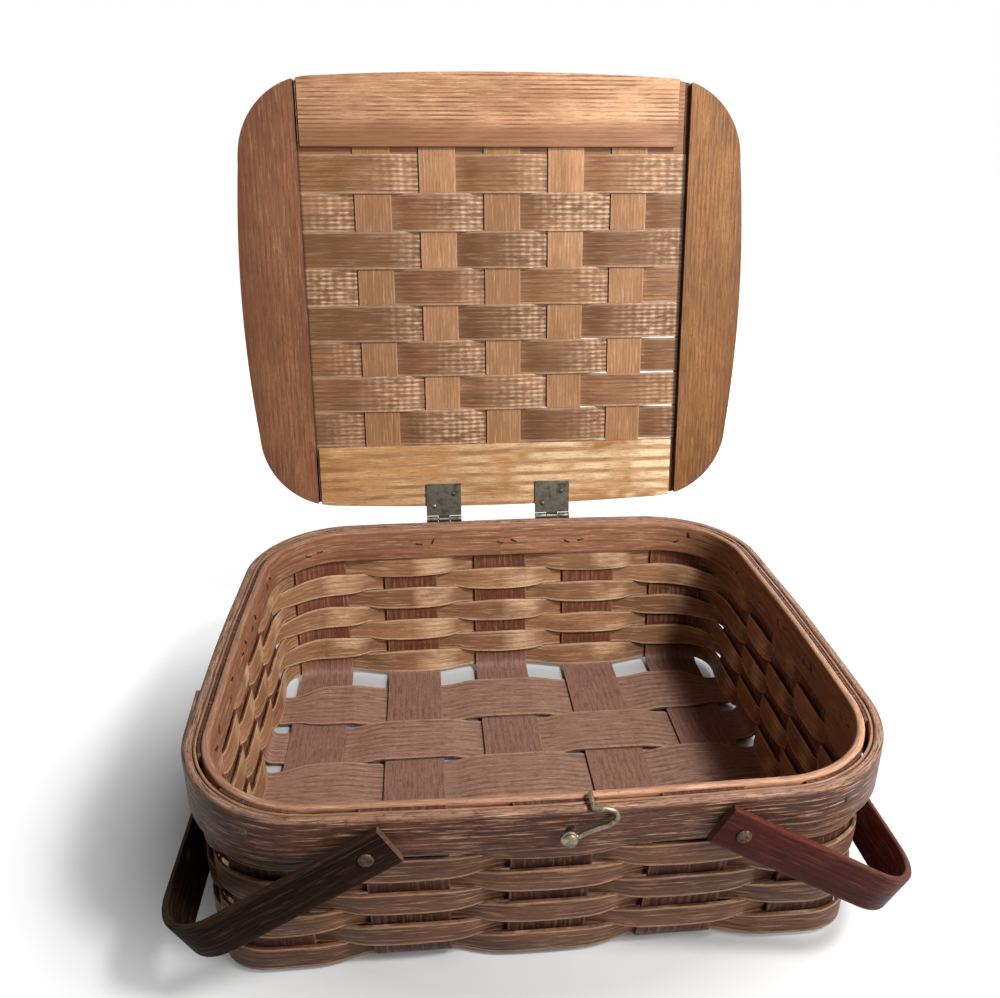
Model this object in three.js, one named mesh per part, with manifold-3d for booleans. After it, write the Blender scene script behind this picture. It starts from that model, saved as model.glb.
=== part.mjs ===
// Picnic basket of wide wooden splints: a tapered woven body with a nailed double rim, two bent
// wooden handles that swing on rivets, and a framed woven lid on two butt hinges, shown open.
// Millimetres, +Z up, +X to the right and +Y to the back. The origin is on the ground, under the
// middle of the open basket's outline.
import * as THREE from 'three';
import * as BufferGeometryUtils from 'three/addons/utils/BufferGeometryUtils.js';
import Module from 'manifold-3d';

// Body
const HEIGHT = 113;
const RIM_LENGTH = 340;
const RIM_DEPTH = 296;
const RIM_CORNER = 65;
const RIM_BOW = 2.5;
const BASE_LENGTH = 322;
const BASE_DEPTH = 247;
const BASE_CORNER = 24;
const CLEARANCE = 0.3;

// Stakes and weavers
const STAKES_EACH_WAY = 5;
const STAKE_WIDTH = 38;
const STAKE_THICKNESS = 1.6;
const CROSS_END_INSET = 31;
const LONG_END_INSET = 44.5;
const LONG_STAKE_GAP = 1.5;
const WEAVER_ROWS = 7;
const WEAVER_THICKNESS = 1.4;
const WEAVER_GAP = 0.8;
const STAKE_TOP_INSET = 1;

// Rim hoops
const INNER_HOOP_HEIGHT = 22;
const INNER_HOOP_THICKNESS = 4;
const OUTER_HOOP_LAP = 4;
const OUTER_HOOP_THICKNESS = 4.5;

// Handles
const HANDLE_REACH = 109;
const HANDLE_WIDTH = 20.5;
const HANDLE_THICKNESS = 3.6;
const HANDLE_BEND = 34;
const HANDLE_TAIL = 12;
const HANDLE_PIVOT_X = 82;
const HANDLE_PIVOT_DROP = 17.5;
const HANDLE_REST_GAP = 2.4;
const RIVET_RADIUS = 1.5;
const RIVET_HEAD_RADIUS = 3.5;
const RIVET_HEAD_HEIGHT = 1.3;
const RIVET_DEPTH = 3.5;

// Hinges
const HINGE_X = 40;
const HINGE_WIDTH = 25.4;
const HINGE_LEAF_LENGTH = 24;
const HINGE_LEAF_THICKNESS = 0.9;
const KNUCKLE_RADIUS = 2.2;
const HINGE_PIN_RADIUS = 0.9;
const MIDDLE_KNUCKLE = 8.4;

// Lid
const LID_OPEN_ANGLE = 98;
const LID_OVERHANG = 1;
const LID_SETBACK = 9;
const LID_FRONT_INSET = 1;
const LID_CORNER = 52;
const LID_SIDE_BOW = 5;
const LID_END_BOW = 3;
const LID_BOARD_THICKNESS = 3;
const SIDE_BOARD_WIDTH = 44;
const CROSS_BOARD_WIDTH = 46;
const LID_SPLINT_THICKNESS = 1.2;
const LID_SPLINT_TUCK = 28;
const LID_UPRIGHTS = 5;
const LID_UPRIGHT_WIDTH = 24.5;
const LID_UPRIGHT_MARGIN = 30;
const LID_UPRIGHT_SHIFT = 5;
const LID_ROWS = 8;
const LID_ROW_MARGIN = 3.5;
const LID_ROW_GAP = 2;

// Latch
const HOOK_X = 5;
const HOOK_DROP = 14;
const HOOK_WIRE_RADIUS = 1.2;
const HOOK_ARM_LENGTH = 22;
const HOOK_ARM_ANGLE = 22;
const HOOK_BEND_START = 0.85;
const HOOK_FINGER_X = 10;
const HOOK_FINGER_REACH = 10;

// Facets
const ACROSS_STAKE = [-1, -1 / 3, 1 / 3, 1];
const CORNER_STEPS = 3;
const ROUND_SIDES = 12;
const HEAD_SLOPES = [0, 30, 60];
const HANDLE_ARC_STEPS = 6;
const LID_ARC_STEPS = 8;
const WIRE_STEPS = 28;
const WIRE_ARC_STEPS = 4;

// Sizes that follow
const radians = THREE.MathUtils.degToRad;
const weaveOffset = STAKE_THICKNESS / 2 + CLEARANCE + WEAVER_THICKNESS / 2;
const outerHoopIn = weaveOffset + WEAVER_THICKNESS / 2 + CLEARANCE;
const outerHoopOut = outerHoopIn + OUTER_HOOP_THICKNESS;
const innerHoopOut = -STAKE_THICKNESS / 2 - CLEARANCE;
const innerHoopIn = innerHoopOut - INNER_HOOP_THICKNESS;
const outerHoopHeight = INNER_HOOP_HEIGHT + OUTER_HOOP_LAP;
const floorRise = STAKE_THICKNESS + CLEARANCE;
const floorMiddle = STAKE_THICKNESS / 2 + floorRise;
const rowsBottom = floorMiddle + floorRise + STAKE_THICKNESS / 2 + CLEARANCE;
const rowPitch = (HEIGHT - INNER_HOOP_HEIGHT - rowsBottom) / WEAVER_ROWS;
const rowTops = [...Array(WEAVER_ROWS + 1).keys()].map((row) => HEIGHT - INNER_HOOP_HEIGHT - row * rowPitch);
const stakeHeights = [HEIGHT - STAKE_TOP_INSET, ...rowTops, floorMiddle];
const middleStake = (STAKES_EACH_WAY - 1) / 2;
const crossPitch = (BASE_LENGTH / 2 - CROSS_END_INSET) / middleStake;
const longPitch = (BASE_DEPTH / 2 - LONG_END_INSET) / middleStake;
const longStakeWidth = longPitch - LONG_STAKE_GAP;

// Finishes
const finish = (color, roughness, metalness = 0) => () => (
  new THREE.MeshStandardMaterial({ color, roughness, metalness }));
const stakeWood = finish(0x7a4a34, 0.7);
const weaverWood = finish(0x9a7048, 0.65);
const hoopWood = finish(0x6b3f2a, 0.6);
const handleWood = finish(0x4a261c, 0.5);
const boardWood = finish(0xa87b4f, 0.6);
const lidSplintWood = finish(0x94694a, 0.65);
const steel = finish(0x8a8880, 0.45, 0.9);

const basket = new THREE.Group();

function addPiece(parent, name, geometry, newMaterial) {
  const piece = new THREE.Mesh(geometry, newMaterial());
  piece.name = name;
  parent.add(piece);
  return piece;
}

// Turns a geometry right side out where its corners were laid down the other way round.
function outward(geometry) {
  const { array } = geometry.index;
  const [a, b, c] = [new THREE.Vector3(), new THREE.Vector3(), new THREE.Vector3()];
  let volume = 0;
  for (let i = 0; i < array.length; i += 3) {
    [a, b, c].forEach((corner, k) => corner.fromBufferAttribute(geometry.attributes.position, array[i + k]));
    volume += a.dot(b.cross(c));
  }
  if (volume < 0) geometry.index.array.reverse();
  geometry.computeVertexNormals();
  return geometry;
}

// A strap with a thickness. Each row is a station along it and holds the points across its width,
// each with its place in the middle of the thickness and the way the thickness goes.
function strap(rows, thickness) {
  const along = rows.length - 1;
  const across = rows[0].length - 1;
  const geometry = new THREE.BoxGeometry(1, 1, 1, along, across, 1);
  const { position } = geometry.attributes;
  const corner = new THREE.Vector3();
  for (let i = 0; i < position.count; i += 1) {
    corner.fromBufferAttribute(position, i);
    const point = rows[Math.round((corner.x + 0.5) * along)][Math.round((corner.y + 0.5) * across)];
    const side = corner.z * thickness;
    corner.copy(point.place).addScaledVector(point.normal, side);
    position.setXYZ(i, corner.x, corner.y, corner.z);
  }
  return outward(geometry);
}

// A closed ring of four-sided section. Each column holds the section's corners in turn.
function ring(columns) {
  const geometry = new THREE.TorusGeometry(2, 1, 4, columns.length);
  const { position, uv } = geometry.attributes;
  for (let i = 0; i < position.count; i += 1) {
    const column = columns[Math.round(uv.getX(i) * columns.length) % columns.length];
    const corner = column[Math.round(uv.getY(i) * 4) % 4];
    position.setXYZ(i, corner.x, corner.y, corner.z);
  }
  return outward(geometry);
}

// Joins and cuts
const wasm = await Module();
wasm.setup();

function toSolid(geometry) {
  const bare = new THREE.BufferGeometry();
  bare.setAttribute('position', geometry.attributes.position);
  bare.setIndex(geometry.index);
  const merged = BufferGeometryUtils.mergeVertices(bare);
  return new wasm.Manifold(new wasm.Mesh({
    numProp: 3,
    vertProperties: merged.attributes.position.array,
    triVerts: Uint32Array.from(merged.index.array),
  }));
}

function toGeometry(solid) {
  const { vertProperties, triVerts } = solid.getMesh();
  const geometry = new THREE.BufferGeometry();
  geometry.setAttribute('position', new THREE.BufferAttribute(vertProperties, 3));
  geometry.setIndex(new THREE.BufferAttribute(triVerts, 1));
  geometry.computeVertexNormals();
  return geometry;
}

function shaped(joined, cut = []) {
  const whole = joined.map(toSolid).reduce((solid, next) => solid.add(next));
  return toGeometry(cut.map(toSolid).reduce((solid, next) => solid.subtract(next), whole));
}

function block(low, high) {
  const size = new THREE.Vector3().subVectors(high, low);
  const middle = new THREE.Vector3().addVectors(low, high).multiplyScalar(0.5);
  return new THREE.BoxGeometry(size.x, size.y, size.z).translate(middle.x, middle.y, middle.z);
}

// A round bar along X or Y, centred on the origin until it is moved.
const barX = (radius, length) => (
  new THREE.CylinderGeometry(radius, radius, length, ROUND_SIDES).rotateZ(Math.PI / 2));
const barY = (radius, length) => new THREE.CylinderGeometry(radius, radius, length, ROUND_SIDES);

// The wall's outline at a height: a rounded rectangle that grows from the base to the rim.
function outline(z) {
  const share = z / HEIGHT;
  const halfLength = THREE.MathUtils.lerp(BASE_LENGTH / 2, RIM_LENGTH / 2 - outerHoopOut, share);
  const halfDepth = THREE.MathUtils.lerp(BASE_DEPTH / 2, RIM_DEPTH / 2 - outerHoopOut, share);
  const corner = THREE.MathUtils.lerp(BASE_CORNER, RIM_CORNER - outerHoopOut, share);
  const runX = halfLength - corner;
  const runY = halfDepth - corner;
  const arc = corner * Math.PI / 2;
  return { halfLength, halfDepth, corner, runX, runY, arc, quarter: runX + arc + runY, bow: RIM_BOW * share };
}

// A point of the wall's middle surface. Turn counts quarters of the way round from the middle of
// the back, by way of the right-hand side.
function wall(turn, z) {
  const { halfLength, halfDepth, corner, runX, runY, arc, quarter, bow } = outline(z);
  const side = Math.floor(turn);
  const share = side % 2 ? 1 - (turn - side) : turn - side;
  const along = share * quarter;
  const angle = THREE.MathUtils.clamp((along - runX) / corner, 0, Math.PI / 2);
  const normal = new THREE.Vector3(Math.sin(angle), Math.cos(angle), 0);
  const place = new THREE.Vector3(
    Math.min(along, runX) + corner * normal.x,
    runY - Math.max(along - runX - arc, 0) + corner * normal.y,
    z,
  );
  place.addScaledVector(normal, bow * Math.cos(Math.PI * share) ** 2);
  const mirror = new THREE.Vector3([1, 1, -1, -1].at(side % 4), [1, -1, -1, 1].at(side % 4), 1);
  return { place: place.multiply(mirror), normal: normal.multiply(mirror) };
}

const offset = ({ place, normal }, distance) => place.clone().addScaledVector(normal, distance);

// How far the rim's outer face lies behind or in front of the middle, at a distance along its length.
function rimFace(x) {
  const share = x / outline(HEIGHT).quarter;
  return RIM_DEPTH / 2 + RIM_BOW * Math.cos(Math.PI * share) ** 2;
}

// Stakes stand evenly along each side of the base and keep their share of the way round.
const baseQuarter = outline(0).quarter;
const stakeNumbers = [...Array(STAKES_EACH_WAY).keys()];
const crossX = stakeNumbers.map((i) => (i - middleStake) * crossPitch);
const longY = stakeNumbers.map((j) => (middleStake - j) * longPitch);
const backTurns = crossX.map((x) => x / baseQuarter);
const rightTurns = longY.map((y) => 1 - y / baseQuarter);
const frontTurns = crossX.map((x) => 2 - x / baseQuarter);
const leftTurns = longY.map((y) => 3 + y / baseQuarter);
const turnsRound = [...backTurns, ...rightTurns, ...frontTurns.toReversed(), ...leftTurns.toReversed()];
const isLong = (k) => Math.floor(k / STAKES_EACH_WAY) % 2;

// Rows of a stake in the wall, from the rim down past each weaver to the bend at the base.
function stakeInWall(turn, width, direction) {
  const rows = stakeHeights.map((z) => {
    const halfWidth = width / 2 / outline(z).quarter;
    return ACROSS_STAKE.map((across) => wall(turn + direction * across * halfWidth, z));
  });
  rows.at(-1).forEach((point) => point.normal.setZ(-1));
  return rows;
}

// The stakes that run from front to back lie flat in the floor.
stakeNumbers.forEach((i) => {
  const back = stakeInWall(backTurns[i], STAKE_WIDTH, 1);
  const front = stakeInWall(frontTurns[i], STAKE_WIDTH, -1);
  const rows = [...back, ...front.reverse()];
  addPiece(basket, `cross_stake_${i + 1}`, strap(rows, STAKE_THICKNESS), stakeWood);
});

// The stakes that run from side to side go over and under them.
stakeNumbers.forEach((j) => {
  const right = stakeInWall(rightTurns[j], longStakeWidth, 1);
  const left = stakeInWall(leftTurns[j], longStakeWidth, -1);
  const floorRows = [];
  crossX.toReversed().forEach((x, k) => {
    const i = STAKES_EACH_WAY - 1 - k;
    const z = floorMiddle + ((i + j) % 2 ? -floorRise : floorRise);
    [STAKE_WIDTH / 2, -STAKE_WIDTH / 2].forEach((edge) => {
      floorRows.push(right.at(-1).map(({ place }) => ({
        place: new THREE.Vector3(x + edge, place.y, z),
        normal: new THREE.Vector3(0, 0, -1),
      })));
    });
  });
  const rows = [...right, ...floorRows, ...left.reverse()];
  addPiece(basket, `long_stake_${j + 1}`, strap(rows, STAKE_THICKNESS), stakeWood);
});

// Places round the wall at a height where a hoop or weaver bends: across each stake, and between the
// last stake of a side and the first of the next. Each has the reach that is asked for at its stake.
function bendsRound(z, reach) {
  const { quarter } = outline(z);
  const halfWidth = (k) => (isLong(k) ? longStakeWidth : STAKE_WIDTH) / 2 / quarter;
  return turnsRound.flatMap((turn, k) => {
    const here = reach(k);
    const bends = ACROSS_STAKE.map((across) => ({ turn: turn + across * halfWidth(k), reach: here }));
    const next = (k + 1) % turnsRound.length;
    if (next % STAKES_EACH_WAY) return bends;
    const there = reach(next);
    const nextTurn = turnsRound[next] + (next ? 0 : 4);
    for (let step = 1; step < CORNER_STEPS; step += 1) {
      const share = step / CORNER_STEPS;
      bends.push({
        turn: THREE.MathUtils.lerp(turn + halfWidth(k), nextTurn - halfWidth(next), share),
        reach: here.map((distance, side) => THREE.MathUtils.lerp(distance, there[side], share)),
      });
    }
    return bends;
  });
}

// A hoop or weaver between two heights, from one distance off the wall's middle to another at each stake.
function band(low, high, reach) {
  const top = bendsRound(high, reach);
  return ring(bendsRound(low, reach).map((bottom, c) => {
    const [inside, outside] = bottom.reach;
    const lowPoint = wall(bottom.turn, low);
    const highPoint = wall(top[c].turn, high);
    return [
      offset(lowPoint, inside),
      offset(lowPoint, outside),
      offset(highPoint, outside),
      offset(highPoint, inside),
    ];
  }));
}

for (let row = 0; row < WEAVER_ROWS; row += 1) {
  const high = rowTops[row] - WEAVER_GAP / 2;
  const low = rowTops[row + 1] + WEAVER_GAP / 2;
  const weave = band(low, high, (k) => {
    const middle = (k + row) % 2 ? -weaveOffset : weaveOffset;
    return [middle - WEAVER_THICKNESS / 2, middle + WEAVER_THICKNESS / 2];
  });
  addPiece(basket, `weaver_${row + 1}`, weave, weaverWood);
}

// Rim
const pivotZ = HEIGHT - HANDLE_PIVOT_DROP;
const hookZ = HEIGHT - HOOK_DROP;
const armInside = rimFace(HANDLE_PIVOT_X - HANDLE_TAIL) + CLEARANCE;
const armOutside = armInside + HANDLE_THICKNESS;
const hookPlane = rimFace(0) + CLEARANCE + HOOK_WIRE_RADIUS;
const boreRadius = RIVET_RADIUS + CLEARANCE;

const rimBore = () => barY(boreRadius, 3 * OUTER_HOOP_THICKNESS);
const rimHoles = [-1, 1].flatMap((side) => [-1, 1].map((end) => (
  rimBore().translate(side * HANDLE_PIVOT_X, end * rimFace(HANDLE_PIVOT_X), pivotZ))));
rimHoles.push(rimBore().translate(HOOK_X, -rimFace(HOOK_X), hookZ));
const outerHoop = band(HEIGHT - outerHoopHeight, HEIGHT, () => [outerHoopIn, outerHoopOut]);
addPiece(basket, 'rim_outer_hoop', shaped([outerHoop], rimHoles), hoopWood);
const innerHoop = band(HEIGHT - INNER_HOOP_HEIGHT, HEIGHT, () => [innerHoopIn, innerHoopOut]);
addPiece(basket, 'rim_inner_hoop', innerHoop, hoopWood);

// A round-headed rivet with its head's seat at the origin, its shank down -Y.
function rivet(shank) {
  const head = HEAD_SLOPES.map(radians).map((slope) => (
    [RIVET_HEAD_RADIUS * Math.cos(slope), RIVET_HEAD_HEIGHT * Math.sin(slope)]));
  const profile = [
    [0, -shank],
    [RIVET_RADIUS, -shank],
    [RIVET_RADIUS, 0],
    ...head,
    [0, RIVET_HEAD_HEIGHT],
  ].map(([radius, y]) => new THREE.Vector2(radius, y));
  return new THREE.LatheGeometry(profile, ROUND_SIDES);
}

// A handle hangs until its bow's lower inner edge lies a rest gap from the woven side, which leans out
// evenly from its foot.
const sideFoot = BASE_LENGTH / 2 + weaveOffset + WEAVER_THICKNESS / 2;
const sideLean = (RIM_LENGTH / 2 - outerHoopOut + RIM_BOW - BASE_LENGTH / 2) / HEIGHT;
const bowInside = HANDLE_REACH - HANDLE_THICKNESS;
const restReach = sideFoot + sideLean * pivotZ + HANDLE_REST_GAP - HANDLE_PIVOT_X;
const edgeAlong = bowInside + sideLean * HANDLE_WIDTH / 2;
const edgeBelow = HANDLE_WIDTH / 2 - sideLean * bowInside;
const hangAngle = Math.acos(restReach / Math.hypot(edgeAlong, edgeBelow)) - Math.atan2(edgeBelow, edgeAlong);

// Handles: a flat strap bent to a U, with its two tails riveted to the rim.
function handleOutline() {
  const inside = HANDLE_BEND - HANDLE_THICKNESS;
  const bendX = HANDLE_REACH - HANDLE_BEND;
  const bendY = armOutside - HANDLE_BEND;
  const shape = new THREE.Shape();
  shape.moveTo(-HANDLE_TAIL, -armOutside);
  shape.lineTo(bendX, -armOutside);
  shape.absarc(bendX, -bendY, HANDLE_BEND, -Math.PI / 2, 0);
  shape.absarc(bendX, bendY, HANDLE_BEND, 0, Math.PI / 2);
  shape.lineTo(-HANDLE_TAIL, armOutside);
  shape.lineTo(-HANDLE_TAIL, armInside);
  shape.absarc(bendX, bendY, inside, Math.PI / 2, 0, true);
  shape.absarc(bendX, -bendY, inside, 0, -Math.PI / 2, true);
  shape.lineTo(-HANDLE_TAIL, -armInside);
  return shape;
}

[['left', -1], ['right', 1]].forEach(([name, side]) => {
  const strip = new THREE.ExtrudeGeometry(handleOutline(), {
    depth: HANDLE_WIDTH, bevelEnabled: false, curveSegments: HANDLE_ARC_STEPS,
  });
  strip.translate(0, 0, -HANDLE_WIDTH / 2);
  if (side < 0) strip.rotateZ(Math.PI);
  const holes = [-1, 1].map((end) => (
    barY(boreRadius, 2 * HANDLE_THICKNESS).translate(0, end * (armInside + armOutside) / 2, 0)));
  const handle = new THREE.Group();
  handle.position.set(side * HANDLE_PIVOT_X, 0, pivotZ);
  handle.rotation.y = side * hangAngle;
  addPiece(handle, `${name}_handle`, shaped([strip], holes), handleWood);
  basket.add(handle);

  [['front', -1], ['back', 1]].forEach(([place, end]) => {
    const seat = armOutside + CLEARANCE;
    const shank = seat - rimFace(HANDLE_PIVOT_X) + RIVET_DEPTH;
    const pin = addPiece(basket, `${name}_handle_${place}_rivet`, rivet(shank), steel);
    pin.position.set(side * HANDLE_PIVOT_X, end * seat, pivotZ);
    pin.rotation.x = end < 0 ? Math.PI : 0;
  });
});

// Hinges: a leaf on the back of the rim, a leaf under the lid, and a pin through their knuckles.
const leafSeat = rimFace(HINGE_X - HINGE_WIDTH / 2) + CLEARANCE;
const hingeY = leafSeat + CLEARANCE + KNUCKLE_RADIUS;
const hingeZ = HEIGHT;
const leafStart = KNUCKLE_RADIUS + CLEARANCE;
const pinBore = HINGE_PIN_RADIUS + CLEARANCE;

const lid = new THREE.Group();
lid.position.set(0, hingeY, hingeZ);
lid.rotation.x = -radians(LID_OPEN_ANGLE);
basket.add(lid);

// Sizes of a leaf are told along the hinge, towards the leaf's far edge, and through its thickness.
const sidePart = (HINGE_WIDTH - MIDDLE_KNUCKLE) / 2 - CLEARANCE;
const sidePartX = (MIDDLE_KNUCKLE + sidePart) / 2 + CLEARANCE;
const bore = barX(pinBore, HINGE_WIDTH * 2);

function rimLeaf() {
  const plateY = leafSeat - hingeY;
  const plate = block(
    new THREE.Vector3(-HINGE_WIDTH / 2, plateY, -leafStart - HINGE_LEAF_LENGTH),
    new THREE.Vector3(HINGE_WIDTH / 2, plateY + HINGE_LEAF_THICKNESS, -leafStart),
  );
  const knuckles = [-sidePartX, sidePartX].flatMap((x) => [
    barX(KNUCKLE_RADIUS, sidePart).translate(x, 0, 0),
    block(
      new THREE.Vector3(x - sidePart / 2, plateY, -leafStart - CLEARANCE),
      new THREE.Vector3(x + sidePart / 2, plateY + HINGE_LEAF_THICKNESS, 0),
    ),
  ]);
  return shaped([plate, ...knuckles], [bore]);
}

function lidLeaf() {
  const plate = block(
    new THREE.Vector3(-HINGE_WIDTH / 2, -leafStart - HINGE_LEAF_LENGTH, CLEARANCE),
    new THREE.Vector3(HINGE_WIDTH / 2, -leafStart, CLEARANCE + HINGE_LEAF_THICKNESS),
  );
  const tongue = block(
    new THREE.Vector3(-MIDDLE_KNUCKLE / 2, -leafStart - CLEARANCE, CLEARANCE),
    new THREE.Vector3(MIDDLE_KNUCKLE / 2, 0, CLEARANCE + HINGE_LEAF_THICKNESS),
  );
  return shaped([plate, tongue, barX(KNUCKLE_RADIUS, MIDDLE_KNUCKLE)], [bore]);
}

[['left', -1], ['right', 1]].forEach(([name, side]) => {
  const x = side * HINGE_X;
  addPiece(basket, `${name}_hinge_rim_leaf`, rimLeaf(), steel).position.set(x, hingeY, hingeZ);
  addPiece(basket, `${name}_hinge_pin`, barX(HINGE_PIN_RADIUS, HINGE_WIDTH), steel)
    .position.set(x, hingeY, hingeZ);
  addPiece(lid, `${name}_hinge_lid_leaf`, lidLeaf(), steel).position.set(x, 0, 0);
});

// Lid, told lying shut: its back edge is set back from the hinge line and its front edge meets the rim's.
const lidUnderside = HINGE_LEAF_THICKNESS + 2 * CLEARANCE;
const lidMiddle = lidUnderside + LID_BOARD_THICKNESS + CLEARANCE + LID_SPLINT_THICKNESS / 2;
const lidTopBoards = lidMiddle + LID_SPLINT_THICKNESS / 2 + CLEARANCE;
const lidBack = -LID_SETBACK;
const lidFront = -hingeY - rimFace(0) + LID_FRONT_INSET;
const lidCentreY = (lidBack + lidFront) / 2;
const lidHalfDepth = (lidBack - lidFront) / 2 - LID_END_BOW;
const lidHalfLength = RIM_LENGTH / 2 + RIM_BOW + LID_OVERHANG - LID_SIDE_BOW;
const windowX = lidHalfLength + LID_SIDE_BOW - SIDE_BOARD_WIDTH;
const windowY = lidHalfDepth + LID_END_BOW - CROSS_BOARD_WIDTH;
const cornerX = lidHalfLength - LID_CORNER;
const cornerY = lidHalfDepth - LID_CORNER;
const outlineY = (x) => cornerY + Math.sqrt(LID_CORNER ** 2 - Math.max(x - cornerX, 0) ** 2);

function sideBoard() {
  const innerEdge = windowX + CLEARANCE;
  const angle = Math.asin(Math.max(innerEdge - cornerX, 0) / LID_CORNER);
  const shape = new THREE.Shape();
  shape.moveTo(innerEdge, -outlineY(innerEdge));
  shape.absarc(cornerX, -cornerY, LID_CORNER, angle - Math.PI / 2, 0);
  shape.quadraticCurveTo(lidHalfLength + 2 * LID_SIDE_BOW, 0, lidHalfLength, cornerY);
  shape.absarc(cornerX, cornerY, LID_CORNER, 0, Math.PI / 2 - angle);
  shape.lineTo(innerEdge, outlineY(innerEdge));
  return shape;
}

function crossBoard() {
  const endY = outlineY(windowX);
  const shape = new THREE.Shape();
  shape.moveTo(-windowX, windowY);
  shape.lineTo(windowX, windowY);
  shape.lineTo(windowX, endY);
  shape.lineTo(cornerX, lidHalfDepth);
  shape.quadraticCurveTo(0, lidHalfDepth + 2 * LID_END_BOW, -cornerX, lidHalfDepth);
  shape.lineTo(-windowX, endY);
  return shape;
}

const lidFrame = [
  ['right', sideBoard, 0],
  ['left', sideBoard, Math.PI],
  ['back', crossBoard, 0],
  ['front', crossBoard, Math.PI],
];
[['inner', lidUnderside], ['outer', lidTopBoards]].forEach(([layer, z]) => {
  lidFrame.forEach(([place, shape, turn]) => {
    const board = new THREE.ExtrudeGeometry(shape(), {
      depth: LID_BOARD_THICKNESS, bevelEnabled: false, curveSegments: LID_ARC_STEPS,
    });
    const piece = addPiece(lid, `lid_${layer}_${place}_board`, shaped([board]), boardWood);
    piece.position.set(0, lidCentreY, z);
    piece.rotation.z = turn;
  });
});

// A lid splint from a list of [distance along it, height off the lid's middle].
function lidSplint(stations, width, place) {
  const up = new THREE.Vector3(0, 0, 1);
  const rows = stations.map(([along, height]) => [-width / 2, width / 2].map((across) => (
    { place: place(along, across).setZ(lidMiddle + height), normal: up })));
  return strap(rows, LID_SPLINT_THICKNESS);
}

const uprightReach = windowX - LID_UPRIGHT_MARGIN - LID_UPRIGHT_WIDTH / 2;
const uprightX = [...Array(LID_UPRIGHTS).keys()].map((i) => (
  LID_UPRIGHT_SHIFT + uprightReach * (2 * i / (LID_UPRIGHTS - 1) - 1)));
const uprightEnd = windowY + LID_SPLINT_TUCK;
uprightX.forEach((x, i) => {
  const splint = lidSplint([[-uprightEnd, 0], [uprightEnd, 0]], LID_UPRIGHT_WIDTH, (along, across) => (
    new THREE.Vector3(x + across, lidCentreY + along, 0)));
  addPiece(lid, `lid_upright_splint_${i + 1}`, splint, lidSplintWood);
});

const lidWeave = LID_SPLINT_THICKNESS + CLEARANCE;
const lidRowPitch = (2 * (windowY - LID_ROW_MARGIN) + LID_ROW_GAP) / LID_ROWS;
const rowEnd = windowX + LID_SPLINT_TUCK;
for (let row = 0; row < LID_ROWS; row += 1) {
  const rowY = lidCentreY + (row - (LID_ROWS - 1) / 2) * lidRowPitch;
  const crossings = uprightX.flatMap((x, i) => {
    const height = (i + row) % 2 ? lidWeave : -lidWeave;
    return [[x - LID_UPRIGHT_WIDTH / 2, height], [x + LID_UPRIGHT_WIDTH / 2, height]];
  });
  const stations = [[-rowEnd, 0], [-windowX, 0], ...crossings, [windowX, 0], [rowEnd, 0]];
  const splint = lidSplint(stations, lidRowPitch - LID_ROW_GAP, (along, across) => (
    new THREE.Vector3(along, rowY + across, 0)));
  addPiece(lid, `lid_row_splint_${row + 1}`, splint, lidSplintWood);
}

// Latch: a wire hook turns on a screw in the front of the rim, and its finger lies over the rim.
const fingerZ = HOOK_DROP + CLEARANCE + HOOK_WIRE_RADIUS;
const eyeRadius = boreRadius + HOOK_WIRE_RADIUS;
const armAngle = radians(HOOK_ARM_ANGLE);
const armEnd = new THREE.Vector3(Math.cos(armAngle), 0, Math.sin(armAngle)).multiplyScalar(HOOK_ARM_LENGTH);
const hookRoute = new THREE.CatmullRomCurve3([
  armEnd.clone().multiplyScalar(eyeRadius / HOOK_ARM_LENGTH),
  armEnd.clone().multiplyScalar(0.5),
  armEnd.clone().multiplyScalar(HOOK_BEND_START),
  new THREE.Vector3(armEnd.x, 0, (armEnd.z + fingerZ) / 2),
  new THREE.Vector3((armEnd.x + HOOK_FINGER_X) / 2, 0, fingerZ),
  new THREE.Vector3(HOOK_FINGER_X, HOOK_WIRE_RADIUS * 2, fingerZ),
  new THREE.Vector3(HOOK_FINGER_X, HOOK_FINGER_REACH, fingerZ),
]);
const wireSection = new THREE.Shape().absarc(0, 0, HOOK_WIRE_RADIUS, 0, Math.PI * 2);
const wire = new THREE.ExtrudeGeometry(wireSection, {
  extrudePath: hookRoute, steps: WIRE_STEPS, curveSegments: WIRE_ARC_STEPS,
});
const eye = new THREE.TorusGeometry(eyeRadius, HOOK_WIRE_RADIUS, 8, ROUND_SIDES).rotateX(Math.PI / 2);
const hook = addPiece(basket, 'latch_hook', shaped([eye, wire]), steel);
hook.position.set(HOOK_X, -hookPlane, hookZ);

const screwSeat = hookPlane + HOOK_WIRE_RADIUS + CLEARANCE;
const screw = addPiece(basket, 'latch_screw', rivet(screwSeat - rimFace(HOOK_X) + RIVET_DEPTH), steel);
screw.position.set(HOOK_X, -screwSeat, hookZ);
screw.rotation.x = Math.PI;

// The pieces are placed round the middle of the base, and the open lid moves the outline's middle back.
const openOutline = new THREE.Box3().setFromObject(basket, true);
basket.position.y = -openOutline.getCenter(new THREE.Vector3()).y;

export default basket;
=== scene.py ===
# %% [markdown]
# # A splint picnic basket
# Wide strips of ash, called splints, are woven into a tapered box. Two bent hoops clamp the rim, two
# bent straps make the handles, and a lid of boards and splints stands open on butt hinges. The solid
# model gives every piece its place. Here each piece gets its finished shape and its wood or metal.

# %% Load the frame
import math

import bmesh
import bpy
from mathutils import Matrix, Vector, noise


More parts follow.
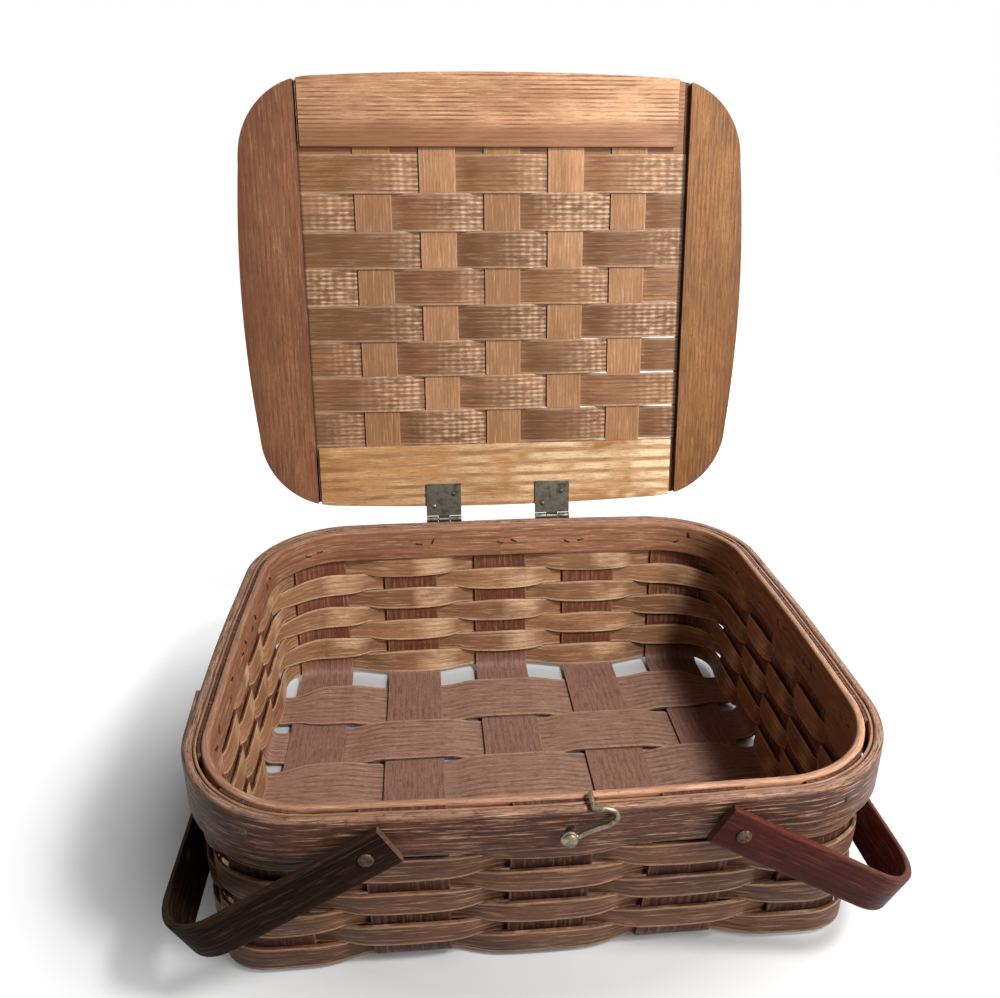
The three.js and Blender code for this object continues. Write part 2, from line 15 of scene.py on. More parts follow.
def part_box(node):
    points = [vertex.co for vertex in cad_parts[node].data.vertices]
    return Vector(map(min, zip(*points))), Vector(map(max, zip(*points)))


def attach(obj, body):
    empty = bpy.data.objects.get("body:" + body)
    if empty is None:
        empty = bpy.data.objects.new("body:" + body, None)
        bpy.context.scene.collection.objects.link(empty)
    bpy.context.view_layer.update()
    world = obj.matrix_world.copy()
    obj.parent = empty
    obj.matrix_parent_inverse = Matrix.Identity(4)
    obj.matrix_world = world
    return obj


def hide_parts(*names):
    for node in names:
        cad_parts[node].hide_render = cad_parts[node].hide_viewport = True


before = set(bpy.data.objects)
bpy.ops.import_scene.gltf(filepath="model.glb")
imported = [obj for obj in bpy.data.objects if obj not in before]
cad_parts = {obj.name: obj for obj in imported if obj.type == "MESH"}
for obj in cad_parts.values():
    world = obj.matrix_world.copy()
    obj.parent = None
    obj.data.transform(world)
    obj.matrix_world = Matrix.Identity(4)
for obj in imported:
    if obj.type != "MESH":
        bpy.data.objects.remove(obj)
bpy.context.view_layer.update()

MM = 0.001

# %% [markdown]
# ## Camera
# The photograph was taken from a little above and to the left, close to the basket, so the lines along
# its sides draw together strongly. A 31.7 mm lens on a 36 mm sensor at about half a metre gives the
# same view.

# %% Camera
rim_low, rim_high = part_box("rim_outer_hoop")
HEIGHT = rim_high.z
CENTRE_Y = (rim_low.y + rim_high.y) / 2
CAMERA_PLACE = Vector((-50.85, -438.17, 382.47)) * MM + Vector((0, CENTRE_Y, 0))
CAMERA_YAW, CAMERA_PITCH, CAMERA_ROLL = (math.radians(a) for a in (5.03, 23.24, 0.23))
LENS, NEAREST = 31.66, 10 * MM

camera = bpy.data.objects.new("camera", bpy.data.cameras.new("camera"))
camera.data.lens = LENS
camera.data.clip_start = NEAREST
camera.location = CAMERA_PLACE
turn_up = Matrix.Rotation(math.pi / 2 - CAMERA_PITCH, 4, "X") @ Matrix.Rotation(CAMERA_ROLL, 4, "Z")
camera.rotation_euler = (Matrix.Rotation(-CAMERA_YAW, 4, "Z") @ turn_up).to_euler()
bpy.context.scene.collection.objects.link(camera)
bpy.context.scene.camera = camera
print("camera at", [round(v, 3) for v in camera.location])

# %% [markdown]
# ## Colours and nodes
# Colours are written as they look on a screen, in sRGB hex, and the shader wants linear light, so one
# function turns them. Another adds a node with its settings and its links.

# %% Colours and nodes
def linear(hex_colour):
    """A linear RGBA colour from an sRGB hex string."""
    parts = [int(hex_colour[i:i + 2], 16) / 255 for i in (1, 3, 5)]
    return (*[p / 12.92 if p <= 0.04045 else ((p + 0.055) / 1.055) ** 2.4 for p in parts], 1.0)


def add(tree, kind, inputs=None, **settings):
    """Adds a node. An input is a number, a colour, or another node's output to link."""
    made = tree.nodes.new(kind)
    for name, value in settings.items():
        setattr(made, name, value)
    for name, value in (inputs or {}).items():
        if isinstance(value, bpy.types.NodeSocket):
            tree.links.new(value, made.inputs[name])
        else:
            made.inputs[name].default_value = value
    return made


def new_material(name):
    """A material with no nodes yet."""
    made = bpy.data.materials.new(name)
    made.use_nodes = True
    made.node_tree.nodes.clear()
    return made, made.node_tree


print("a mid grey is", round(linear("#808080")[0], 3), "in linear light")

# %% [markdown]
# ## Grain
# Wood's patterns follow its grain. The strips carry a flat map in metres, along and across the grain,
# so each pattern keeps its real size however the strip bends. Soft marks are noises stretched along the
# grain. Growth rings and the ladders of broken varnish repeat, so they are waves.

# %% Grain
WAVE_REPEAT = 2 * math.pi / 20


def grain_marks(tree, grain, marks):
    """Where each soft mark shows. A mark is its length and breadth in millimetres, the values of the noise
    between which it appears, and its strength."""
    amount = {}
    for mark, (along, breadth, low, high, strength) in marks.items():
        place = add(tree, "ShaderNodeMapping", {
            "Vector": grain, "Scale": (1 / (along * MM), 1 / (breadth * MM), 1)})
        cloud = add(tree, "ShaderNodeTexNoise", {
            "Vector": place.outputs[0], "Scale": 1.0, "Detail": 3.0, "Roughness": 0.6,
        }, noise_dimensions="2D")
        amount[mark] = add(tree, "ShaderNodeMapRange", {
            "Value": cloud.outputs[0], "From Min": low, "From Max": high, "To Max": strength}).outputs[0]
    return amount


def grain_lines(tree, grain, lines):
    """Where each set of lines shows. A set is the direction in which it repeats, its period in millimetres,
    how much it wanders, how it is stretched along and across, the values between which it appears, and its
    strength. Blender's wave repeats every 2 pi / 20 units."""
    amount = {}
    for line, (direction, period, wander, stretch, low, high, strength) in lines.items():
        place = add(tree, "ShaderNodeMapping", {"Vector": grain, "Scale": (*stretch, 1)})
        wave = add(tree, "ShaderNodeTexWave", {
            "Vector": place.outputs[0], "Scale": WAVE_REPEAT / (period * MM), "Distortion": wander,
            "Detail": 2.0, "Detail Scale": 0.6}, bands_direction=direction)
        amount[line] = add(tree, "ShaderNodeMapRange", {
            "Value": wave.outputs["Fac"], "From Min": low, "From Max": high, "To Max": strength}).outputs[0]
    return amount


print("grain waves repeat every", round(WAVE_REPEAT, 3), "units")

# %% [markdown]
# ## Split ash
# The whole basket is ash, split or sliced along its growth rings, stained and varnished, and darkened
# by age. The eye sees long fibres and pores, growth rings as darker lines along the strip, ladders of
# pale ticks where a strip was flexed and its varnish broke, and pale edges where hands have worn it.
# Some strips also carry a painted highlight, and on the lid's rows the pale ladders are painted
# highlight, with painted shade where the rows go under the boards. A picture of wood could be wrapped
# on instead, but patterns made from numbers stay sharp and never repeat. The finish is a stack of
# colours, each laid where the product of a few patterns says.

# %% Ash
NO_EDGE, EDGE_CORE = (999, 1), 0.3
# The colour of painted shade, laid where a strap's attribute asks for it.
SHADE_COLOUR = "#140b07"
BAND_LAYER, DUST_LAYER = 5, 2
FIBRE_RELIEF = 0.2 * MM
DUST_TOP, DUST_FULL, DUST_STRENGTH = 16 * MM, 5 * MM, 0.75


def ash(name, dark, mid, light, edge=NO_EDGE, ring=3.0, rings=0.5, pores=0.6, streaks=0.4, ticks=0.0,
        highlight_strength=0.0, wear=0.4, band=None, dust=None, sway=1.5, sweep=0.05, highlit=False,
        roughness=(0.42, 0.66), shine=0.12):
    """Aged ash. Edge is where its worn edges lie from its middle, and their reach. Band is where a dark band
    starts and ends across it, and its strength. Sizes are in millimetres. Sway is how much the rings wander,
    sweep is how quickly they do so along the grain, and the other numbers are strengths from 0 to 1."""
    made, tree = new_material(name)
    grain = add(tree, "ShaderNodeUVMap", uv_map="grain").outputs[0]
    across = add(tree, "ShaderNodeSeparateXYZ", {"Vector": grain}).outputs["Y"]

    # Ash pores are about 0.3 mm wide. They are drawn coarser, because that is too fine to show from here.
    amount = grain_marks(tree, grain, {
        "piece": (900, 500, 0.36, 0.64, 0.7),
        "tone": (80, 14, 0.36, 0.7, 0.6),
        "patch": (46, 26, 0.36, 0.58, 1.0),
        "pore": (14, 0.55, 0.52, 0.68, pores),
        "speck": (3.2, 0.9, 0.54, 0.7, 0.7 * pores),
        "fleck": (9, 3.5, 0.34, 0.6, 1.0),
        "streak": (22, 1.3, 0.54, 0.74, streaks),
    })
    amount |= grain_lines(tree, grain, {
        "ring": ("Y", ring, sway, (sweep, 1), 0.4, 0.95, rings),
        "ridge": ("Y", ring, sway, (sweep, 1), 0.7, 0.1, 1.0),
        "tick": ("X", 5.6, 6.0, (1, 0.22), 0.1, 0.9, 1.0),
    })

    edge_place, edge_reach = edge
    off_middle = add(tree, "ShaderNodeMath", {0: across}, operation="ABSOLUTE").outputs[0]
    past = add(tree, "ShaderNodeMath", {0: off_middle, 1: edge_place * MM}, operation="SUBTRACT").outputs[0]
    off_edge = add(tree, "ShaderNodeMath", {0: past}, operation="ABSOLUTE").outputs[0]
    amount["edge"] = add(tree, "ShaderNodeMapRange", {
        "Value": off_edge, "From Min": edge_reach * MM, "From Max": EDGE_CORE * edge_reach * MM,
        "To Max": wear}).outputs[0]
    # Two attributes of the strap say where it gets a painted highlight and where it gets painted shade.
    for share in ("painted_highlight", "painted_shade"):
        amount[share] = add(tree, "ShaderNodeAttribute", attribute_name=share).outputs["Fac"]

    # Layers from the bottom up: a colour, its strength, and the patterns whose product says where it lies.
    # On a highlit strip the ladders show only within its painted highlight.
    ladder_places = ["fleck", "painted_highlight" if highlit else "patch"]
    layers = [
        (dark, 1.0, ["piece"]),
        (dark, 1.0, ["tone"]),
        # A painted highlight, where the strap's attribute and the patches say.
        (light, highlight_strength, ["painted_highlight", "patch"]),
        (dark, 1.0, ["ring", "patch"]),
        (light, 1.0, ["streak"]),
        (light, 0.4 * ticks, ["ridge", *ladder_places]),
        (light, 0.2 * ticks, ["tick", *ladder_places]),
        (light, 0.35 * ticks, ["tick", "ridge", *ladder_places]),
        (light, 1.0, ["edge"]),
        (dark, 1.0, ["pore"]),
        (dark, 1.0, ["speck"]),
        # Painted shade, where the strap's attribute says.
        (SHADE_COLOUR, 1.0, ["painted_shade"]),
    ]
    if band:
        band_start, band_end, band_strength = band
        amount["band"] = add(tree, "ShaderNodeMapRange", {
            "Value": across, "From Min": band_start * MM, "From Max": band_end * MM,
            "To Max": band_strength}).outputs[0]
        layers.insert(BAND_LAYER, (dark, 1.0, ["band"]))
    if dust:
        place = add(tree, "ShaderNodeTexCoord").outputs["Object"]
        height = add(tree, "ShaderNodeSeparateXYZ", {"Vector": place}).outputs["Z"]
        amount["dust"] = add(tree, "ShaderNodeMapRange", {
            "Value": height, "From Min": DUST_TOP, "From Max": DUST_FULL,
            "To Max": DUST_STRENGTH}).outputs[0]
        layers.insert(DUST_LAYER, (dust, 1.0, ["dust"]))
    colour = linear(mid)
    for layer_colour, share, patterns in layers:
        for pattern in patterns:
            share = add(tree, "ShaderNodeMath", {0: share, 1: amount[pattern]},
                        operation="MULTIPLY").outputs[0]
        colour = add(tree, "ShaderNodeMix", {0: share, 6: colour, 7: linear(layer_colour)},
                     data_type="RGBA").outputs[2]

    relief = add(tree, "ShaderNodeMath", {0: amount["ring"], 1: amount["pore"]}, operation="ADD").outputs[0]
    bump = add(tree, "ShaderNodeBump", {"Height": relief, "Strength": 0.4, "Distance": FIBRE_RELIEF},
               invert=True)
    gloss = add(tree, "ShaderNodeMapRange", {
        "Value": amount["pore"], "To Min": roughness[0], "To Max": roughness[1]}).outputs[0]
    shader = add(tree, "ShaderNodeBsdfPrincipled", {
        "Base Color": colour, "Roughness": gloss, "Specular IOR Level": shine, "Normal": bump.outputs[0]})
    add(tree, "ShaderNodeOutputMaterial", {"Surface": shader.outputs[0]})
    return made


print("dust lies below", round(DUST_TOP / MM), "mm")

# %% Ash finishes
# The weavers' inside is tan, with a painted highlight on the half of each run that comes after its stake.
weaver_inside = ash("weaver_ash_inside", "#6b4832", "#a97c59", "#deba92", (7.2, 1.2), ring=4.2, rings=0.4,
                    highlight_strength=0.7)
# Their outside is a darker brown that paints in shade, with pale streaks and edges.
weaver_outside_shaded = ash("weaver_ash_outside_painted_shade", "#38231a", "#7a523b", "#c39a78", (7.2, 1.0), ring=3.4,
                     streaks=0.5, wear=0.5)
# The stakes' inside is red-brown on the wall, and dusty and greyer on the floor.
cross_stake_inside = ash("cross_stake_ash_inside", "#4a281d", "#7a4833", "#ab8269", (19, 1.5), ring=4,
                         rings=0.2, ticks=0.3, sway=0.8, dust="#907064")
# The side-to-side stakes lie uppermost on the floor, and show wavy rings and pale fibres.
long_stake_inside = ash("long_stake_ash_inside", "#4a281d", "#7a4833", "#c49c80", (19, 1.5), ring=4.6,
                        rings=0.35, streaks=0.5, ticks=0.3, sway=2.5, sweep=0.08, dust="#a07f70")
# Their outside lies back between the weavers and is painted dark, as shade.
stake_outside_shaded = ash("stake_ash_outside_painted_shade", "#2a1710", "#5a382a", "#8f6a56", (19, 1.5), ring=4, rings=0.3,
                    ticks=0.4)
# The outer hoop is dark and streaky, with a worn, paler top edge.
outer_hoop_ash = ash("outer_hoop_ash", "#2b170f", "#7e4e38", "#c49a80", (15.2, 4.2), ring=3.8, rings=0.75,
                     streaks=0.75, pores=0.9, wear=0.4, sway=3)
# The inner hoop is a warmer, lighter brown.
inner_hoop_ash = ash("inner_hoop_ash", "#6a432e", "#b58262", "#d2ab8d", (13, 3.6), ring=5, rings=0.7,
                     streaks=0.5, wear=0.25)
# Sawn ends drink in the stain and look flat and dark.
end_grain = ash("end_grain", "#33221a", "#5f4436", "#86685a", pores=0.3)
print("nodes in one ash finish:", len(weaver_inside.node_tree.nodes))

# %% [markdown]
# ## Making a strap
# Nearly every piece is a strap: a long strip that bends. A strap starts as a grid. Its points are moved
# on to the route that the strip takes, and its flat map keeps the distances along and across the strip.
# Every strip's map starts somewhere else along the grain, so no two strips are alike. One attribute
# says where a strap gets a painted highlight, and another says where it gets painted shade.

# %% Straps
DOUBLES = 0.001 * MM
GRAIN_STEP = 1.37
# The number of the first strip of each kind. The stakes come before these.
STRIPS = {"weavers": 20, "outer hoop": 30, "inner hoop": 32, "rim row": 34, "lap": 36, "handles": 40,
          "uprights": 50, "lid rows": 60}


def strap(rows, number=0, flat=None, painted_highlight=None, painted_shade=None):
    """A bmesh sheet through rows of points, each row across the strap. Its grain starts at its own number of
    steps along, or follows flat. The painted highlight and the painted shade give a share for each row."""
    along, across = len(rows) - 1, len(rows[0]) - 1
    reach = [number * GRAIN_STEP]
    for here, there in zip(rows, rows[1:]):
        reach.append(reach[-1] + (there[across // 2] - here[across // 2]).length)
    breadth = [0.0]
    for here, there in zip(rows[0], rows[0][1:]):
        breadth.append(breadth[-1] + (there - here).length)
    bm = bmesh.new()
    bmesh.ops.create_grid(bm, x_segments=along, y_segments=across, size=0.5)
    grain = bm.loops.layers.uv.new("grain")
    shares = []
    for name, values in (("painted_highlight", painted_highlight), ("painted_shade", painted_shade)):
        if values:
            shares.append((bm.verts.layers.float.new(name), values))
    spots = {}
    for vert in bm.verts:
        spots[vert] = round((vert.co.x + 0.5) * along), round((vert.co.y + 0.5) * across)
    for face in bm.faces:
        for loop in face.loops:
            station, column = spots[loop.vert]
            loop[grain].uv = (reach[station], breadth[column] - breadth[-1] / 2)
            if flat:
                loop[grain].uv = flat(rows[station][column])
    for vert, (station, column) in spots.items():
        vert.co = rows[station][column]
        for layer, values in shares:
            vert[layer] = values[station]
    bmesh.ops.remove_doubles(bm, verts=bm.verts, dist=DOUBLES)
    return bm


def face_out(bm):
    """Turns a sheet that goes round the basket so that its faces look outwards."""
    bmesh.ops.recalc_face_normals(bm, faces=bm.faces)
    out = sum(face.normal.dot(face.calc_center_median() - Vector((0, CENTRE_Y, 0))) for face in bm.faces)
    if out < 0:
        bmesh.ops.reverse_faces(bm, faces=bm.faces)


print("the next strap's grain starts", GRAIN_STEP, "m further along")

# %% [markdown]
# ## Bars
# A thin splint is one sheet that a Solidify modifier thickens. A thick bar, such as a hoop or a handle,
# is a sheet that goes right round the bar's section, so the grain runs on over its rounded edges. Its
# ends are filled afterwards.

# %% Bars
CORNER_STEPS = 3


def section(thickness, height, rounding, seam=-1):
    """Points round a bar's section, out and up from its middle. The seam is on its inner face (-1) or on
    its outer face (1)."""
    first = 0 if seam > 0 else math.pi
    points = [(seam * thickness / 2, 0)]
    for k in range(4):
        corner = first + (k + 0.5) * math.pi / 2
        out = math.copysign(thickness / 2 - rounding, math.cos(corner))
        up = math.copysign(height / 2 - rounding, math.sin(corner))
        for s in range(CORNER_STEPS + 1):
            angle = first + (k + s / CORNER_STEPS) * math.pi / 2
            points.append((out + rounding * math.cos(angle), up + rounding * math.sin(angle)))
    return [*points, points[0]]


def close_ends(bm):
    """Fills the ends of a bar. The new faces take the second material."""
    open_edges = [edge for edge in bm.edges if edge.is_boundary]
    for face in bmesh.ops.holes_fill(bm, edges=open_edges, sides=0)["faces"]:
        face.material_index = 1
    bmesh.ops.recalc_face_normals(bm, faces=bm.faces)


print("a bar's section has", len(section(4 * MM, 20 * MM, 1 * MM)) - 1, "points")

# %% [markdown]
# ## Pieces
# A finished bmesh becomes an object that rides on one body of the solid model and stands for one of its
# nodes. Solidify gives a sheet its thickness, with a second material on its inner side, and Bevel eases
# the edges, because real edges are never quite sharp and catch a thin line of light.

# %% Pieces
SHARP = math.radians(42)


def joined(sheets):
    """One bmesh of several."""
    whole = bmesh.new()
    for sheet in sheets:
        mesh = bpy.data.meshes.new("part")
        sheet.to_mesh(mesh)
        sheet.free()
        whole.from_mesh(mesh)
        bpy.data.meshes.remove(mesh)
    return whole


def add_piece(name, bm, body, materials, node=None, thickness=0.0, round_edge=0.0):
    """Makes the bmesh an object that rides on a body, and that stands for a node of the solid model."""
    mesh = bpy.data.meshes.new(name)
    bm.to_mesh(mesh)
    bm.free()
    for material in materials:
        mesh.materials.append(material)
    mesh.shade_smooth()
    mesh.set_sharp_from_angle(angle=SHARP)
    piece = bpy.data.objects.new(name, mesh)
    bpy.context.scene.collection.objects.link(piece)
    if thickness:
        solid = piece.modifiers.new("thickness", "SOLIDIFY")
        solid.thickness = thickness
        solid.offset = 0
        solid.material_offset = len(materials) - 1
    if round_edge:
        bevel = piece.modifiers.new("worn edges", "BEVEL")
        bevel.width = round_edge
        bevel.segments = 2
        bevel.limit_method = "ANGLE"
        bevel.angle_limit = SHARP
        bevel.harden_normals = True
    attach(piece, body)
    if node:
        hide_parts(node)


print("edges sharper than", round(math.degrees(SHARP)), "degrees are drawn as edges")

# %% [markdown]
# ## The wall's surface
# The wall is a rounded rectangle that grows from the base to the rim. A place on it is told by a turn,
# which counts quarters of the way round from the middle of the back by way of the right-hand side, and
# by a height. Each piece could be bent by itself, but one function that gives them all their points
# keeps them at the right distance from each other.

# %% Wall
RIM_LENGTH, RIM_DEPTH, RIM_CORNER, RIM_BOW = 340 * MM, 296 * MM, 65 * MM, 2.5 * MM
BASE_LENGTH, BASE_DEPTH, BASE_CORNER = 322 * MM, 247 * MM, 24 * MM
CLEARANCE = 0.3 * MM
STAKE_THICKNESS, WEAVER_THICKNESS = 1.6 * MM, 1.4 * MM
OUTER_HOOP_THICKNESS, INNER_HOOP_THICKNESS = 4.5 * MM, 4 * MM
WEAVE_OFFSET = STAKE_THICKNESS / 2 + CLEARANCE + WEAVER_THICKNESS / 2
OUTER_HOOP_IN = WEAVE_OFFSET + WEAVER_THICKNESS / 2 + CLEARANCE
OUTER_HOOP_OUT = OUTER_HOOP_IN + OUTER_HOOP_THICKNESS
INNER_HOOP_OUT = -STAKE_THICKNESS / 2 - CLEARANCE


def outline(z):
    """The straight runs, the corner radius and the bow of the wall at a height."""
    share = z / HEIGHT
    half_length = BASE_LENGTH / 2 + (RIM_LENGTH / 2 - OUTER_HOOP_OUT - BASE_LENGTH / 2) * share
    half_depth = BASE_DEPTH / 2 + (RIM_DEPTH / 2 - OUTER_HOOP_OUT - BASE_DEPTH / 2) * share
    corner = BASE_CORNER + (RIM_CORNER - OUTER_HOOP_OUT - BASE_CORNER) * share
    return half_length - corner, half_depth - corner, corner, RIM_BOW * share


def quarter(z):
    """The length of a quarter of the way round at a height."""
    run_x, run_y, corner, _ = outline(z)
    return run_x + corner * math.pi / 2 + run_y


def wall(turn, z, offset=0.0):
    """A point a distance out from the middle of the wall."""
    run_x, run_y, corner, bow = outline(z)
    side = math.floor(turn)
    share = 1 - (turn - side) if side % 2 else turn - side
    along = share * quarter(z)
    angle = min(max((along - run_x) / corner, 0), math.pi / 2)
    normal = Vector((math.sin(angle), math.cos(angle), 0))
    past_corner = max(along - run_x - corner * math.pi / 2, 0)
    place = Vector((min(along, run_x), run_y - past_corner, z)) + normal * corner
    place += normal * (offset + bow * math.cos(math.pi * share) ** 2)
    right = 1 if side % 4 < 2 else -1
    back = 1 if side % 4 in (0, 3) else -1
    return Vector((place.x * right, CENTRE_Y + place.y * back, z))


STAKES = 5
CROSS_PITCH, LONG_PITCH = 65 * MM, 39.5 * MM
cross_x = [(i - 2) * CROSS_PITCH for i in range(STAKES)]
long_y = [(2 - j) * LONG_PITCH for j in range(STAKES)]
around = quarter(0)
back_turns = [x / around for x in cross_x]
right_turns = [1 - y / around for y in long_y]
front_turns = [2 - x / around for x in cross_x]
left_turns = [3 + y / around for y in long_y]
stake_turns = back_turns + right_turns + front_turns[::-1] + left_turns[::-1]
print("stakes stand at turns", [round(t, 2) for t in stake_turns])

# %% [markdown]
# ## Stakes
# A stake is one splint that comes down a wall, crosses the floor and goes up the far wall. Steam bends
# it at the foot of the wall, so the corner is a small curve. The front-to-back stakes lie flat in the
# floor, and the side-to-side stakes ride over and under them. They keep flat where they cross and sway
# between crossings. The side-to-side stakes are pinched at the foot of the wall, which leaves small
# holes in the corners between. A modifier could bend a long box, but rows of points set across the
# route let a stake bend, ride and narrow all at once.

# %% Stake routes
STAKE_WIDTH, LONG_WIDTH = 38 * MM, 38.6 * MM
FOOT_PINCH, PINCH_HEIGHT = 8.4 * MM, 14 * MM
LONG_SWELL, EDGE_SWELL, SWELL_STATIONS, SWELL_HOLD = 4.5 * MM, 9 * MM, 7, 0.1
FLOOR_RISE = STAKE_THICKNESS + CLEARANCE
FLOOR_MIDDLE = STAKE_THICKNESS / 2 + FLOOR_RISE
FLOOR_HOLD, FLOOR_TAIL = 0.29, 0.45
STAKE_TOP = HEIGHT - 1 * MM
FOOT_BEND = 7 * MM
STAKE_COLUMNS = 7
WALL_STATIONS, BEND_STATIONS, FLOOR_STATIONS = 18, 6, 72
SPLINT_EASE = 0.3 * MM


def held(p, hold):
    """Goes from 1 to -1 as p goes from 0 to 1, level for the first and last hold of the way."""
    eased = min(max((p - hold) / (1 - 2 * hold), 0), 1)
    return math.cos(math.pi * eased)


def stake_rows(turn_a, turn_b, width, floor_height, pinch=0.0, swell=(0.0, 0.0)):
    """Rows across a stake from the top of one wall to the top of the other. Pinch is how much narrower it
    is at the foot of the walls, and swell is how much further its back and front edges reach in the floor."""
    shares = [2 * c / (STAKE_COLUMNS - 1) - 1 for c in range(STAKE_COLUMNS)]

    def side(turn, direction, z):
        pinched = pinch * max(1 - (z - FLOOR_MIDDLE) / PINCH_HEIGHT, 0)
        half = (width - pinched) / 2 / quarter(z)
        return [wall(turn + direction * c * half, z) for c in shares]

    foot_a, foot_b = side(turn_a, 1, FLOOR_MIDDLE), side(turn_b, -1, FLOOR_MIDDLE)
    fall = FLOOR_MIDDLE + FOOT_BEND - STAKE_TOP
    heights = [STAKE_TOP + fall * k / WALL_STATIONS for k in range(WALL_STATIONS + 1)]
    down = [side(turn_a, 1, z) for z in heights]
    up = [side(turn_b, -1, z) for z in reversed(heights)]
    floor = []
    for k in range(FLOOR_STATIONS + 1):
        row = []
        inward = min(k, FLOOR_STATIONS - k, SWELL_STATIONS) / SWELL_STATIONS
        swollen = (1 - held(inward, SWELL_HOLD)) / 2
        for a, b, c in zip(foot_a, foot_b, shares):
            inset = FOOT_BEND / (b - a).length
            point = a.lerp(b, inset + (1 - 2 * inset) * k / FLOOR_STATIONS)
            point.y -= c * swollen * swell[c > 0]
            point.z = FLOOR_MIDDLE + floor_height(point.x)
            row.append(point)
        floor.append(row)

    def bend(start, foot, end):
        rows = []
        for k in range(1, BEND_STATIONS):
            t = k / BEND_STATIONS
            rows.append([s.lerp(f, t).lerp(f.lerp(e, t), t) for s, f, e in zip(start, foot, end)])
        return rows

    return down + bend(down[-1], foot_a, floor[0]) + floor + bend(floor[-1], foot_b, up[0]) + up


def floor_wave(x, j):
    """How far a side-to-side stake stands over or under the others in the floor."""
    place = x / CROSS_PITCH + 2
    i = min(max(math.floor(place), 0), STAKES - 2)
    sign = -1 if (i + j) % 2 else 1
    p = min(max(place - i, -FLOOR_TAIL), 1 + FLOOR_TAIL)
    reach = 1 if 0 <= p <= 1 else math.cos(math.pi * (max(p - 1, -p) / (2 * FLOOR_TAIL))) ** 2
    return FLOOR_RISE * sign * reach * held(p, FLOOR_HOLD)


print("the floor's splints ride", round(FLOOR_RISE / MM, 1), "mm over and under its middle")

# %% Stakes
for i in range(STAKES):
    sheet = strap(stake_rows(back_turns[i], front_turns[i], STAKE_WIDTH, lambda x: 0.0), i)
    face_out(sheet)
    finish = [stake_outside_shaded, cross_stake_inside]
    add_piece(f"cross_stake_splint_{i + 1}", sheet, "body", finish, f"cross_stake_{i + 1}",
              STAKE_THICKNESS, SPLINT_EASE)
for j in range(STAKES):
    swell = (EDGE_SWELL if j == 0 else LONG_SWELL, EDGE_SWELL if j == STAKES - 1 else LONG_SWELL)
    rows = stake_rows(right_turns[j], left_turns[j], LONG_WIDTH, lambda x: floor_wave(x, j), FOOT_PINCH,
                      swell)
    sheet = strap(rows, STAKES + j)
    face_out(sheet)
    finish = [stake_outside_shaded, long_stake_inside]
    add_piece(f"long_stake_splint_{j + 1}", sheet, "body", finish, f"long_stake_{j + 1}",
              STAKE_THICKNESS, SPLINT_EASE)
print("stakes:", 2 * STAKES)

# %% [markdown]
# ## Weavers
# Each weaver goes round the wall in front of one stake and behind the next, and the next row goes the
# other way. A thin splint crowns where it passes a stake, and crowds its neighbours between stakes, so
# each visible run is a long lens, fullest at its middle. The outside of the wall is darker than the
# inside, with shade painted in, so the two faces of a weaver get two finishes, and each inside run gets a
# painted highlight on one half. A wave modifier could bend a straight strip, but the stakes stand closer
# on the short sides, so each point is worked out from the two stakes that it lies between.

# %% Weaver routes
WEAVER_ROWS = 7
WEAVER_GAP = 0.2 * MM
INNER_HOOP_HEIGHT, OUTER_HOOP_HEIGHT = 22 * MM, 26 * MM
ROWS_BOTTOM = FLOOR_MIDDLE + FLOOR_RISE + STAKE_THICKNESS / 2 + CLEARANCE
ROW_PITCH = (HEIGHT - INNER_HOOP_HEIGHT - ROWS_BOTTOM) / WEAVER_ROWS
CROWN, SPREAD, CUP, FULLNESS = 1.3 * MM, 2.1 * MM, 0.45 * MM, 0.6
WEAVER_SWAY, HOOP_FADE = 0.5 * MM, 6 * MM
LAST_ROW_DROP, LAST_ROW_CROWN = 2.6 * MM, 1.6 * MM
STEPS_BETWEEN = 16
WEAVER_COLUMNS = 5
LEAST_CROSSING = 9 * MM


def wobble(x, y, z=0.0):
    """A number from -1 to 1 that is always the same at the same place and changes smoothly between places.
    The factors in a call only keep its places apart."""
    return noise.noise(Vector((x, y, z)))


def weaver_row(row, k, p):
    """Points across a weaver at a share p of the way from stake k to the next."""
    turn_a = stake_turns[k]
    turn_b = stake_turns[(k + 1) % len(stake_turns)] + (4 if k + 1 == len(stake_turns) else 0)
    turn = turn_a + (turn_b - turn_a) * p
    last = row == WEAVER_ROWS - 1
    high = HEIGHT - INNER_HOOP_HEIGHT - row * ROW_PITCH - WEAVER_GAP / 2
    low = high - ROW_PITCH + WEAVER_GAP
    pitch = (turn_b - turn_a) * quarter((low + high) / 2)
    hold = min(STAKE_WIDTH / 2, (pitch - LEAST_CROSSING) / 2) / pitch
    sign = -1 if (k + row) % 2 else 1
    crown = math.cos(math.pi * p)
    spread = SPREAD * abs(crown) ** FULLNESS
    top = high + (spread if row else 0)
    bottom = low - (LAST_ROW_DROP if last else spread)
    sway = wobble(turn * 3, row * 7.3, 0.5) * WEAVER_SWAY * (1 - crown ** 2)
    points = []
    for c in range(WEAVER_COLUMNS):
        w = c / (WEAVER_COLUMNS - 1)
        z = bottom + (top - bottom) * w + sway
        under_hoop = min(max((HEIGHT - OUTER_HOOP_HEIGHT + HOOP_FADE / 2 - z) / HOOP_FADE, 0), 1)
        out = sign * WEAVE_OFFSET * held(p, hold)
        out += sign * crown * under_hoop * (CROWN - CUP * (2 * w - 1) ** 2)
        if last and sign * crown < 0:
            out += sign * crown * LAST_ROW_CROWN * (1 - w)
        points.append(wall(turn, z, out))
    return points


def weaver_highlight(row, k, p):
    """The painted highlight on a weaver: most on the half of each inside run that comes after its stake."""
    inside = (k + row) % 2 == 1
    return max(0.0, math.sin(math.pi * min(2 * p, 1))) if inside else 0.0


print("rows of weaving are", round(ROW_PITCH / MM, 1), "mm apart")

